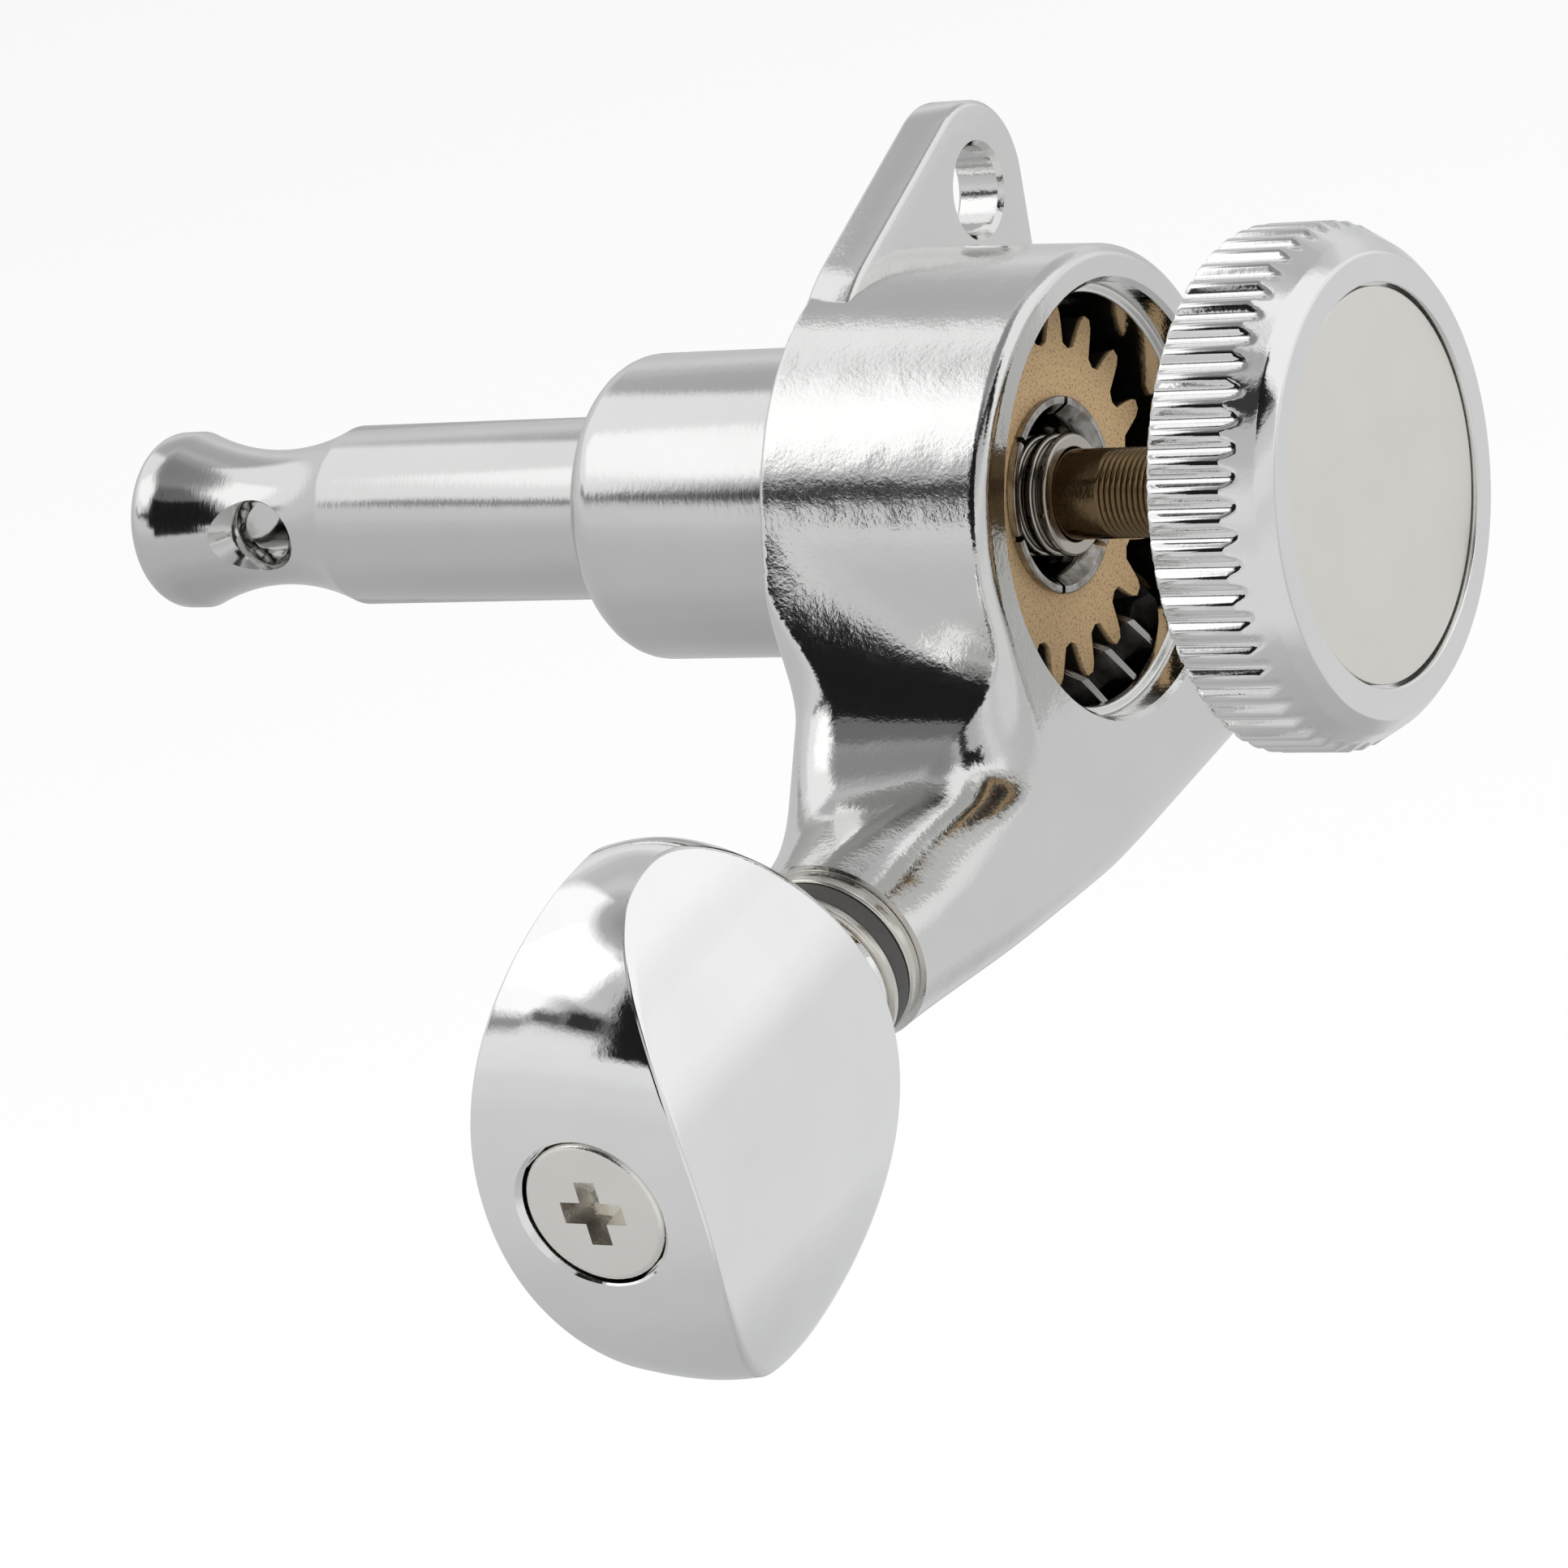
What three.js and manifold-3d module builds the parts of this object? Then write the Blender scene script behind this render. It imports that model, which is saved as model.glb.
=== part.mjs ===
// A locking guitar tuning machine: a worm turned by a button drives a wheel on the string post,
// and a thumb wheel behind the cup screws a stem into the post, whose pin clamps the string.
// Lengths are in millimetres. The pieces are laid out in the bench frame, with the seat on the
// headstock at zero, +Z along the post to its string end, +X along the worm to the button and +Y
// to the screw ear. The last group stands the machine up, with the ear on top.

import * as THREE from 'three';
import { mergeVertices } from 'three/addons/utils/BufferGeometryUtils.js';
import Module from 'manifold-3d';

const wasm = await Module();
wasm.setup();

// How finely round pieces are cut, in sides to a full turn
const fineSides = 48;
const roundSides = 36;
const smallSides = 24;
const holeSides = 16;

// Every cut runs this far past the face that it opens
const overrun = 0.5;

// Clearances between pieces
const runningGap = 0.06;
const pressGap = 0.03;
const faceGap = 0.02;

// Layout of the two axles: the worm lies below the post and behind the seat
const axleDrop = 7.45;
const axleDepth = 4.33;

// Headstock seat and front sleeve
const sleeveRadius = 4.99;
const sleeveLength = 9.75;
const sleeveNoseRound = 1.2;
const sleeveSpigotRadius = 4.5;
const sleeveSpigotDepth = 1.0;
const clipRoomRadius = 3.9;
const clipRoomLength = 1.6;
const sleeveLip = 0.75;

// String post
const postRadius = 3.0;
const stringHoleHeight = 24.1;
const stringHoleRadius = 0.95;
const postTipLength = 4.75;
const postReach = stringHoleHeight + postTipLength;
const tipRound = 0.6;
const waistOffset = 0.1;
const waistCentre = stringHoleHeight + waistOffset;
const waistLength = 6.9;
const waistRadius = 2.28;
const stringHoleSinkRadius = 1.5;
const stringHoleSinkDepth = 0.55;
const stringHoleAngle = THREE.MathUtils.degToRad(8);
const postRearDepth = 6.25;
const postLipRadius = 3.12;
const postLipThickness = 0.3;
const postLipSlot = 0.22;
const postLipSlots = 4;
const gearSeatRadius = 2.9;
const rearPocketRadius = 2.45;
const rearPocketLength = 3.05;
const pinBoreRadius = 1.2;
const pinBoreRoom = 0.15;
const stemRoomRadius = 1.55;
const stemRoomEnd = 6.5;

// Snap ring that keeps the post in, and the bearing bush in the sleeve
const clipOuterRadius = 3.7;
const clipGrooveRadius = 2.6;
const clipThickness = 0.4;
const clipInset = 0.4;
const clipMouth = 3.2;
const bushOuterRadius = 3.7;

// Housing: cup, screw ear and worm arm in one casting
const cupSeatRadius = 8.25;
const cupRimRadius = 8.0;
const cupDepth = 8.15;
const cupRimRound = 0.45;
const cupSeatRound = 0.15;
const boreDrop = 0.2;
const boreMouthRadius = 6.82;
const boreMouthDepth = 1.05;
const chamberRadius = 6.5;
const floorThickness = 2.3;
const earThickness = 1.7;
const earEndRadius = 2.9;
const earReach = 10.25;
const earAngle = THREE.MathUtils.degToRad(132);
const earHoleRadius = 1.45;
const earEdgeRound = 0.2;
const earScoopRadius = 2.95;
const earScoopEndRadius = 2.1;
const earScoopDepth = 2.8;

// Arm: its mouth, its full section at the cup and the fillet between them
const mouthReach = 16.0;
const mouthRadius = 3.05;
const barrelBottom = 4.05;
const barrelEnd = 8.5;
const barrelEndRound = 3.0;
const barrelTaperStart = 2.0;
const armFilletRadius = 3.6;
const armFrontTaperStart = 9.0;
const wormBoreRadius = 2.65;
const wormBoreEnd = 5.0;

// Worm wheel and worm: one turn of the worm moves the wheel on by one tooth
const wheelTeeth = 18;
const wheelPitchRadius = 5.4;
const wheelTipRadius = 6.0;
const wheelRootRadius = 4.7;
const wheelToothWidth = 0.8;
const wheelThickness = 3.2;
const wormTipRadius = 2.55;
const wormRootRadius = 1.3;
const wormThreadWidth = 0.52;
const wormCrestWidth = 0.3;
const wormFootWidth = 0.86;
const wormHalfLength = 4.6;
const thrustWasherThickness = 0.36;
const thrustWasherRadius = 5.0;

// Worm shaft and its bearings
const journalRadius = 1.5;
const innerJournalLength = 1.9;
const innerBushRadius = 2.3;
const innerBushLength = 1.75;
const wormWasherThickness = 0.35;
const mouthBushBody = 3.0;
const mouthBushRadius = 2.6;
const mouthFlangeRadius = 2.85;
const mouthFlange = 0.56;
const frictionWasherThickness = 0.78;
const frictionWasherRadius = 2.8;
const steelWasherThickness = 0.34;
const steelWasherRadius = 2.85;

// Button, its drive and its screw
const buttonLength = 13.43;
const buttonHalfHeight = 8.25;
const buttonCrown = 0.16;
const buttonOuterReach = 6.05;
const buttonStandOff = 1.72;
const buttonInnerReach = buttonLength - buttonCrown - buttonOuterReach - buttonStandOff;
const buttonHalfThickness = 3.82;
const buttonEdgeHalfThickness = 1.22;
const buttonInnerCrown = 0.9;
const buttonNeckRadius = 2.72;
const buttonNeckLength = 3.0;
const screwHeadRadius = 2.3;
const screwHeadThickness = 1.45;
const screwHeadSink = 0.2;
const screwHeadGap = 0.07;
const screwRecessRadius = screwHeadRadius + screwHeadGap;
const screwShankRadius = 0.95;
const screwGrip = 4.02;
const driveFlat = 1.15;
const driveWall = 2.18;
const driveLength = buttonLength - screwHeadSink - screwHeadThickness - driveWall;
const screwShankLength = driveWall + screwGrip;
const crossLength = 2.6;
const crossWidth = 0.75;
const crossDepth = 0.7;

// Lock: insert in the post, pin, stem, thumb wheel, nut and face disc
const insertRadius = 1.85;
const insertNeckRadius = 1.66;
const insertNeckLength = 0.5;
const insertInner = 2.0;
const insertOuter = 6.05;
const stemRadius = 1.43;
const stemInner = 4.4;
const pinRadius = 1.12;
const pinShow = 0.15;
const pinTip = stringHoleHeight - stringHoleRadius + pinShow;
const thumbBack = 13.65;
const thumbFace = 17.59;
const thumbRadius = 8.15;
const thumbBackBevel = 0.3;
const thumbFaceRadius = 7.13;
const thumbFaceBevel = 1.44;
const thumbMidRadius = 7.56;
const thumbMidBevel = 0.39;
const thumbFluteEnd = 0.79;
const thumbFlutes = 57;
const thumbFluteDepth = 0.26;
const discRecessRadius = 6.2;
const discRecessDepth = 0.6;
const discRadius = 6.1;
const discThickness = 0.42;
const nutAcross = 4.0;
const nutThickness = 1.0;
const nutPocketRadius = 2.6;
const stemSpigotRadius = 1.1;
const hubWall = 2.25;

// Colours and finishes
const chromePlate = { color: 0xd9dadb, roughness: 0.12, metalness: 1.0 };
const nickelPlate = { color: 0xc9c3b8, roughness: 0.22, metalness: 1.0 };
const sinteredBronze = { color: 0xb09269, roughness: 0.55, metalness: 0.7 };
const brass = { color: 0x8f7447, roughness: 0.35, metalness: 0.95 };
const cutSteel = { color: 0x9c9a96, roughness: 0.35, metalness: 1.0 };
const blackNylon = { color: 0x3a3836, roughness: 0.55, metalness: 0.0 };
const satinDisc = { color: 0xcdc9c4, roughness: 0.45, metalness: 0.6 };

const fullTurn = Math.PI * 2;
const quarterTurn = Math.PI / 2;

// A closed geometry as a solid that can be joined and cut
function solidOf(geometry) {
  const bare = geometry.index ? geometry.toNonIndexed() : geometry.clone();
  bare.deleteAttribute('normal');
  bare.deleteAttribute('uv');
  const merged = mergeVertices(bare);
  const found = merged.index.array;
  const corners = [];
  for (let i = 0; i < found.length; i += 3) {
    const [a, b, c] = [found[i], found[i + 1], found[i + 2]];
    if (a !== b && b !== c && c !== a) corners.push(a, b, c);
  }
  const mesh = new wasm.Mesh({
    numProp: 3,
    vertProperties: new Float32Array(merged.attributes.position.array),
    triVerts: new Uint32Array(corners),
  });
  return new wasm.Manifold(mesh);
}

// A solid as a geometry that a mesh can show
function geometryOf(solid) {
  const mesh = solid.getMesh();
  const geometry = new THREE.BufferGeometry();
  geometry.setAttribute('position', new THREE.BufferAttribute(new Float32Array(mesh.vertProperties), 3));
  geometry.setIndex(new THREE.BufferAttribute(new Uint32Array(mesh.triVerts), 1));
  geometry.computeVertexNormals();
  return geometry;
}

// A body of revolution about Z, from points of radius and height
function turned(outline, sides) {
  const profile = outline.map(([radius, height]) => new THREE.Vector2(Math.max(radius, 0), height));
  const rising = profile[0].y < profile[profile.length - 1].y;
  if (!rising) profile.reverse();
  return solidOf(new THREE.LatheGeometry(profile, sides).rotateX(quarterTurn));
}

// A plain round bar or hole about Z, from one height to another
function bar(radius, low, high, sides) {
  return turned([[0, low], [radius, low], [radius, high], [0, high]], sides);
}

// A tube about Z
function tube(outer, inner, low, high, sides) {
  return bar(outer, low, high, sides).subtract(bar(inner, low - overrun, high + overrun, sides));
}

// Turns a solid made about Z so that its axis is the worm axle
function onAxle(solid) {
  return solid.rotate([0, 90, 0]).translate([0, -axleDrop, -axleDepth]);
}

// A closed skin over rings of points, each ring the same even count, closed across its two ends
function skinned(rings) {
  const count = rings[0].length;
  const corners = [];
  const push = (...points) => points.forEach((p) => corners.push(p.x, p.y, p.z));
  for (let k = 0; k + 1 < rings.length; k += 1) {
    for (let i = 0; i < count; i += 1) {
      const j = (i + 1) % count;
      push(rings[k][i], rings[k][j], rings[k + 1][j]);
      push(rings[k][i], rings[k + 1][j], rings[k + 1][i]);
    }
  }
  const half = count / 2;
  const last = rings[rings.length - 1];
  for (let i = 0; i < half; i += 1) {
    const [a, b] = [(count - i) % count, count - i - 1];
    if (i > 0) {
      push(rings[0][i], rings[0][a], rings[0][i + 1]);
      push(last[i], last[i + 1], last[a]);
    }
    if (i + 1 < half) {
      push(rings[0][a], rings[0][b], rings[0][i + 1]);
      push(last[a], last[i + 1], last[b]);
    }
  }
  const geometry = new THREE.BufferGeometry();
  geometry.setAttribute('position', new THREE.Float32BufferAttribute(corners, 3));
  return solidOf(geometry);
}

// An outline of points extruded along Z from one height to another
function extruded(points, low, high, steps = 1) {
  const shape = new THREE.Shape(points.map(([x, y]) => new THREE.Vector2(x, y)));
  const geometry = new THREE.ExtrudeGeometry(shape, { depth: high - low, bevelEnabled: false, steps });
  return geometry.translate(0, 0, low);
}

// Twists a geometry about Z by an angle for each unit of height
function twist(geometry, anglePerLength) {
  const place = geometry.attributes.position;
  for (let i = 0; i < place.count; i += 1) {
    const angle = place.getZ(i) * anglePerLength;
    const [x, y] = [place.getX(i), place.getY(i)];
    place.setX(i, x * Math.cos(angle) - y * Math.sin(angle));
    place.setY(i, x * Math.sin(angle) + y * Math.cos(angle));
  }
  return geometry;
}

// Points along a rounded edge, a quarter of an ellipse from one corner point to another
function roundedEdge(from, to, bulge, steps) {
  const points = [];
  for (let i = 0; i <= steps; i += 1) {
    const angle = quarterTurn * (i / steps);
    const a = bulge === 'first' ? Math.sin(angle) : 1 - Math.cos(angle);
    const b = bulge === 'first' ? 1 - Math.cos(angle) : Math.sin(angle);
    points.push([from[0] + (to[0] - from[0]) * a, from[1] + (to[1] - from[1]) * b]);
  }
  return points;
}

const sleeveBoreRadius = bushOuterRadius + pressGap;
const postBearingRadius = postRadius + runningGap;
const gearFront = axleDepth - wheelThickness / 2;
const gearRear = axleDepth + wheelThickness / 2;

function frontSleeve() {
  const shoulder = sleeveLength - sleeveNoseRound;
  const faceRadius = sleeveRadius - sleeveNoseRound;
  const outer = turned([
    [0, -sleeveSpigotDepth + faceGap],
    [sleeveSpigotRadius, -sleeveSpigotDepth + faceGap],
    [sleeveSpigotRadius, 0],
    [sleeveRadius, 0],
    ...roundedEdge([sleeveRadius, shoulder], [faceRadius, sleeveLength], 'second', 5),
    [0, sleeveLength],
  ], roundSides);
  const clipRoomTop = clipRoomLength - sleeveSpigotDepth;
  const clipRoom = bar(clipRoomRadius, -sleeveSpigotDepth - overrun, clipRoomTop, roundSides);
  const bushRoom = bar(sleeveBoreRadius, 0, sleeveLength - sleeveLip, roundSides);
  const lipHole = bar(postBearingRadius, 0, sleeveLength + overrun, roundSides);
  return outer.subtract(clipRoom).subtract(bushRoom).subtract(lipHole);
}

function postBush() {
  const low = clipRoomLength - sleeveSpigotDepth + faceGap;
  return tube(bushOuterRadius, postBearingRadius, low, sleeveLength - sleeveLip - faceGap, roundSides);
}

const clipHigh = -clipInset;
const clipLow = clipHigh - clipThickness;

function postClip() {
  const ring = tube(clipOuterRadius, clipGrooveRadius + pressGap, clipLow, clipHigh, roundSides);
  const half = clipMouth / 2;
  const mouth = [[0, -half], [clipOuterRadius + overrun, -half], [clipOuterRadius + overrun, half], [0, half]];
  return ring.subtract(solidOf(extruded(mouth, clipLow - overrun, clipHigh + overrun)));
}

function stringPost() {
  const waistLow = waistCentre - waistLength / 2;
  const waistHigh = waistCentre + waistLength / 2;
  const waist = [];
  const waistSteps = 8;
  for (let i = 1; i < waistSteps; i += 1) {
    const along = i / waistSteps;
    const depth = (postRadius - waistRadius) * (1 - (2 * along - 1) ** 2);
    waist.push([postRadius - depth, waistLow + waistLength * along]);
  }
  const tipFace = postRadius - tipRound;
  let post = turned([
    [0, -postRearDepth],
    [postLipRadius, -postRearDepth],
    [postLipRadius, -postRearDepth + postLipThickness],
    [gearSeatRadius, -postRearDepth + postLipThickness],
    [gearSeatRadius, -gearFront + faceGap],
    [postRadius, -gearFront + faceGap],
    [postRadius, clipLow - faceGap],
    [clipGrooveRadius, clipLow - faceGap],
    [clipGrooveRadius, clipHigh + faceGap],
    [postRadius, clipHigh + faceGap],
    [postRadius, waistLow],
    ...waist,
    [postRadius, waistHigh],
    ...roundedEdge([postRadius, postReach - tipRound], [tipFace, postReach], 'second', 3),
    [0, postReach],
  ], roundSides);
  const pocketEnd = -postRearDepth + rearPocketLength;
  post = post.subtract(bar(rearPocketRadius, -postRearDepth - overrun, pocketEnd, smallSides));
  post = post.subtract(bar(insertRadius + pressGap, -postRearDepth, insertInner, smallSides));
  post = post.subtract(bar(stemRoomRadius, 0, stemRoomEnd, smallSides));
  const pinBoreEnd = stringHoleHeight + stringHoleRadius + pinBoreRoom;
  post = post.subtract(bar(pinBoreRadius, 0, pinBoreEnd, smallSides));
  const holeHalf = postRadius + overrun;
  const sinkStart = waistRadius - stringHoleSinkDepth;
  const sinkGrowth = (stringHoleSinkRadius - stringHoleRadius) / stringHoleSinkDepth;
  const mouthRadiusAtEnd = stringHoleRadius + sinkGrowth * (holeHalf - sinkStart);
  const hole = turned([
    [0, -holeHalf],
    [mouthRadiusAtEnd, -holeHalf],
    [stringHoleRadius, -sinkStart],
    [stringHoleRadius, sinkStart],
    [mouthRadiusAtEnd, holeHalf],
    [0, holeHalf],
  ], holeSides);
  const turnDegrees = THREE.MathUtils.radToDeg(stringHoleAngle);
  post = post.subtract(hole.rotate([0, 90, 0]).rotate([0, 0, turnDegrees]).translate([0, 0, stringHoleHeight]));
  const slotReach = postLipRadius + overrun;
  const slotHalf = postLipSlot / 2;
  const slot = [[0, -slotHalf], [slotReach, -slotHalf], [slotReach, slotHalf], [0, slotHalf]];
  const slotSolid = solidOf(extruded(slot, -postRearDepth - overrun, -postRearDepth + postLipThickness));
  for (let i = 0; i < postLipSlots; i += 1) {
    post = post.subtract(slotSolid.rotate([0, 0, 45 + (i * 360) / postLipSlots]));
  }
  return post;
}

// The tapered outline that joins the cup's seat circle and the ear's round end
function earOutline(inset) {
  const [big, small] = [cupSeatRadius - inset, earEndRadius - inset];
  const spread = Math.acos((cupSeatRadius - earEndRadius) / earReach);
  const ear = new THREE.Vector2(Math.cos(earAngle), Math.sin(earAngle)).multiplyScalar(earReach);
  const points = [];
  const endSteps = 12;
  for (let i = 0; i <= endSteps; i += 1) {
    const angle = earAngle - spread + (2 * spread * i) / endSteps;
    points.push([ear.x + small * Math.cos(angle), ear.y + small * Math.sin(angle)]);
  }
  const cupSteps = 16;
  for (let i = 0; i <= cupSteps; i += 1) {
    const angle = earAngle + spread + ((fullTurn - 2 * spread) * i) / cupSteps;
    points.push([big * Math.cos(angle), big * Math.sin(angle)]);
  }
  return points;
}

// One ring round the arm at a reach along the worm axle. The half sizes run up to the cup, down,
// forward to the headstock and back, and a corner is squarer the larger its squareness share.
function armRing(reach, sizes, squares) {
  const points = [];
  for (let i = 0; i < smallSides; i += 1) {
    const angle = (fullTurn * i) / smallSides;
    const [c, s] = [Math.cos(angle), Math.sin(angle)];
    const square = c < 0 ? squares.lower : s > 0 ? squares.front : squares.rear;
    const y = Math.sign(c) * Math.abs(c) ** (2 / square) * (c > 0 ? sizes.up : sizes.down);
    const z = Math.sign(s) * Math.abs(s) ** (2 / square) * (s > 0 ? sizes.forward : sizes.back);
    points.push(new THREE.Vector3(reach, -axleDrop + y, -axleDepth + z));
  }
  return points;
}

// How far a size has grown from the mouth, at 0, to its full value where the taper starts, at 1
function taperShare(reach, start) {
  return Math.min(Math.max((mouthReach - reach) / (mouthReach - start), 0), 1);
}

// The half sizes of the arm at a reach, where its upper side stands a given height over the axle
function armSizes(reach, up) {
  const share = taperShare(reach, barrelTaperStart);
  return {
    up,
    down: THREE.MathUtils.lerp(mouthRadius, barrelBottom, share),
    forward: THREE.MathUtils.lerp(mouthRadius, axleDepth, taperShare(reach, armFrontTaperStart)),
    back: THREE.MathUtils.lerp(mouthRadius, cupDepth - axleDepth, share),
  };
}

// The arm and worm barrel, from the closed end below the cup to the mouth at the button
function armSolid() {
  const filletStart = cupSeatRadius + armFilletRadius;
  const [squareShare, lowerSquareShare] = [3.0, 3.4];
  const barrelShares = { front: squareShare, rear: squareShare, lower: lowerSquareShare };
  const rings = [];
  const endShares = [0, 0.12, 0.35, 0.65, 1];
  endShares.forEach((share) => {
    const size = Math.sqrt(1 - (1 - share) ** 2 * 0.94);
    const reach = -barrelEnd + barrelEndRound * share;
    const sizes = armSizes(reach, mouthRadius);
    Object.keys(sizes).forEach((key) => {
      sizes[key] *= size;
    });
    rings.push(armRing(reach, sizes, barrelShares));
  });
  const innerSteps = 4;
  const innerStart = -barrelEnd + barrelEndRound;
  const innerEnd = cupSeatRadius - armFilletRadius / 2;
  for (let i = 1; i <= innerSteps; i += 1) {
    const reach = innerStart + ((innerEnd - innerStart) * i) / innerSteps;
    rings.push(armRing(reach, armSizes(reach, mouthRadius), barrelShares));
  }
  const filletSteps = 7;
  for (let i = 0; i <= filletSteps; i += 1) {
    const angle = quarterTurn * (i / filletSteps);
    const reach = filletStart - armFilletRadius * Math.cos(angle);
    const up = mouthRadius + armFilletRadius * (1 - Math.sin(angle));
    const share = i / filletSteps;
    const frontShare = 3.4 + 3.6 * (1 - share) ** 2;
    const squareShares = { front: frontShare, rear: 2.1 + 1.4 * (1 - share), lower: 3.4 - 0.4 * share };
    rings.push(armRing(reach, armSizes(reach, up), squareShares));
  }
  const outerSteps = 3;
  for (let i = 1; i <= outerSteps; i += 1) {
    const reach = filletStart + ((mouthReach - filletStart) * i) / outerSteps;
    const share = i / outerSteps;
    const squareShares = { front: 3.4 - 1.4 * share, rear: 2.1 - 0.1 * share, lower: 3 - share };
    rings.push(armRing(reach, armSizes(reach, mouthRadius), squareShares));
  }
  return skinned(rings);
}

function housing() {
  const rimStart = cupDepth - cupRimRound;
  const cup = turned([
    [0, -cupDepth],
    [cupRimRadius - cupRimRound, -cupDepth],
    ...roundedEdge([cupRimRadius - cupRimRound, -cupDepth], [cupRimRadius, -rimStart], 'first', 3).slice(1),
    [cupSeatRadius, -cupSeatRound],
    [cupSeatRadius - cupSeatRound, 0],
    [0, 0],
  ], fineSides).translate([0, -boreDrop, 0]);
  const earRings = [
    [earEdgeRound, 0],
    [0, -earEdgeRound],
    [0, -earThickness + earEdgeRound],
    [earEdgeRound, -earThickness],
  ].map(([inset, height]) => earOutline(inset).map(([x, y]) => new THREE.Vector3(x, y, height)));
  const ear = skinned(earRings.reverse());
  let body = cup.add(ear).add(armSolid());

  const earX = Math.cos(earAngle) * earReach;
  const earY = Math.sin(earAngle) * earReach;
  const earHole = bar(earHoleRadius, -earThickness - overrun, overrun, holeSides).translate([earX, earY, 0]);
  const scoopEnd = earThickness + earScoopDepth;
  const scoop = turned([
    [0, -scoopEnd],
    [earScoopEndRadius, -scoopEnd],
    [earScoopRadius, -earThickness - earScoopDepth / 2],
    [earScoopRadius, -earThickness],
    [0, -earThickness],
  ], smallSides).translate([earX, earY, 0]);
  body = body.subtract(earHole).subtract(scoop);

  const stepDepth = cupDepth - boreMouthDepth;
  const bore = turned([
    [0, -cupDepth - overrun],
    [boreMouthRadius, -cupDepth - overrun],
    [boreMouthRadius, -stepDepth],
    [chamberRadius, -stepDepth],
    [chamberRadius, -floorThickness],
    [0, -floorThickness],
  ], fineSides).translate([0, -boreDrop, 0]);
  const postHole = bar(postBearingRadius, -floorThickness - overrun, overrun, roundSides);
  const spigotHole = bar(sleeveSpigotRadius + pressGap, -sleeveSpigotDepth, overrun, roundSides);
  body = body.subtract(bore).subtract(postHole).subtract(spigotHole);

  const wormBore = onAxle(bar(wormBoreRadius, -wormBoreEnd, mouthReach + overrun, smallSides));
  const innerPocketEnd = -wormBoreEnd - innerBushLength - faceGap;
  const innerPocket = onAxle(bar(innerBushRadius + pressGap, innerPocketEnd, 0, smallSides));
  return body.subtract(wormBore).subtract(innerPocket);
}

function thrustWasher() {
  const high = -floorThickness - faceGap;
  return tube(thrustWasherRadius, postBearingRadius, high - thrustWasherThickness, high, roundSides);
}

// The wheel's teeth lean by the worm's lead angle, so that they lie along its thread
const wormLead = (fullTurn * wheelPitchRadius) / wheelTeeth;
const wormPitchRadius = axleDrop - wheelPitchRadius;
const toothLean = wormLead / (fullTurn * wormPitchRadius) / wheelPitchRadius;

function wormWheel() {
  const points = [];
  const pitchAngle = fullTurn / wheelTeeth;
  const halfTooth = wheelToothWidth / 2 / wheelPitchRadius;
  const flank = [
    [1.42, wheelRootRadius + (wheelTipRadius - wheelRootRadius) * 0.1],
    [1.0, wheelPitchRadius],
    [0.72, wheelPitchRadius + (wheelTipRadius - wheelPitchRadius) * 0.62],
    [0.36, wheelTipRadius],
  ];
  for (let i = 0; i < wheelTeeth; i += 1) {
    const middle = -quarterTurn + (i + 0.5) * pitchAngle;
    const add = (angle, radius) => points.push([radius * Math.cos(angle), radius * Math.sin(angle)]);
    add(middle - pitchAngle / 2, wheelRootRadius);
    flank.forEach(([share, radius]) => add(middle - halfTooth * share, radius));
    [...flank].reverse().forEach(([share, radius]) => add(middle + halfTooth * share, radius));
  }
  const blank = extruded(points, -wheelThickness / 2, wheelThickness / 2, 3);
  const teeth = solidOf(twist(blank, toothLean)).translate([0, 0, -axleDepth]);
  return teeth.subtract(bar(gearSeatRadius + pressGap, -gearRear - overrun, -gearFront + overrun, roundSides));
}

// The worm is one section, turned steadily along the axle, which makes a single right-hand thread
function wormShaft() {
  const rootStart = wormFootWidth / 2;
  const rootShares = [0.34, 0.67, 1];
  const side = [
    ...rootShares.map((share) => [wormRootRadius, rootStart + (wormLead / 2 - rootStart) * share]).reverse(),
    [wormRootRadius, rootStart],
    [wormPitchRadius, wormThreadWidth / 2],
    [wormTipRadius, wormCrestWidth / 2],
  ];
  const otherSide = side.slice(1).reverse().map(([radius, along]) => [radius, -along]);
  const section = [...side, [wormTipRadius, 0], ...otherSide].reverse().map(([radius, along]) => {
    const angle = (fullTurn * along) / wormLead;
    return [radius * Math.cos(angle), radius * Math.sin(angle)];
  });
  const turns = (2 * wormHalfLength) / wormLead;
  const steps = Math.round(turns * 12);
  const blank = extruded(section, -wormHalfLength, wormHalfLength, steps);
  let shaft = solidOf(twist(blank, fullTurn / wormLead)).rotate([0, 0, 90]);
  const innerEnd = -wormHalfLength - innerJournalLength;
  shaft = shaft.add(bar(journalRadius, innerEnd, -wormHalfLength + wormCrestWidth, smallSides));
  shaft = shaft.add(bar(journalRadius, wormHalfLength - wormCrestWidth, buttonStart + driveLength, smallSides));
  const flatReach = journalRadius + overrun;
  const flat = [[-flatReach, driveFlat], [flatReach, driveFlat], [flatReach, flatReach], [-flatReach, flatReach]];
  const flatSolid = solidOf(extruded(flat, buttonStart, buttonStart + driveLength + overrun));
  shaft = shaft.subtract(flatSolid).subtract(flatSolid.rotate([0, 0, 180]));
  const tappedStart = buttonEnd - screwHeadSink - screwHeadThickness - screwShankLength - overrun;
  shaft = shaft.subtract(bar(screwShankRadius + pressGap, tappedStart, buttonEnd, holeSides));
  return onAxle(shaft);
}

const wormFlangeEnd = mouthReach + faceGap + mouthFlange;
const buttonStart = wormFlangeEnd + frictionWasherThickness + steelWasherThickness + 3 * faceGap;
const buttonEnd = buttonStart + buttonLength;

function wormThrustWasher() {
  const low = wormHalfLength + faceGap;
  return onAxle(tube(wormTipRadius, journalRadius + runningGap, low, low + wormWasherThickness, smallSides));
}

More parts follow.
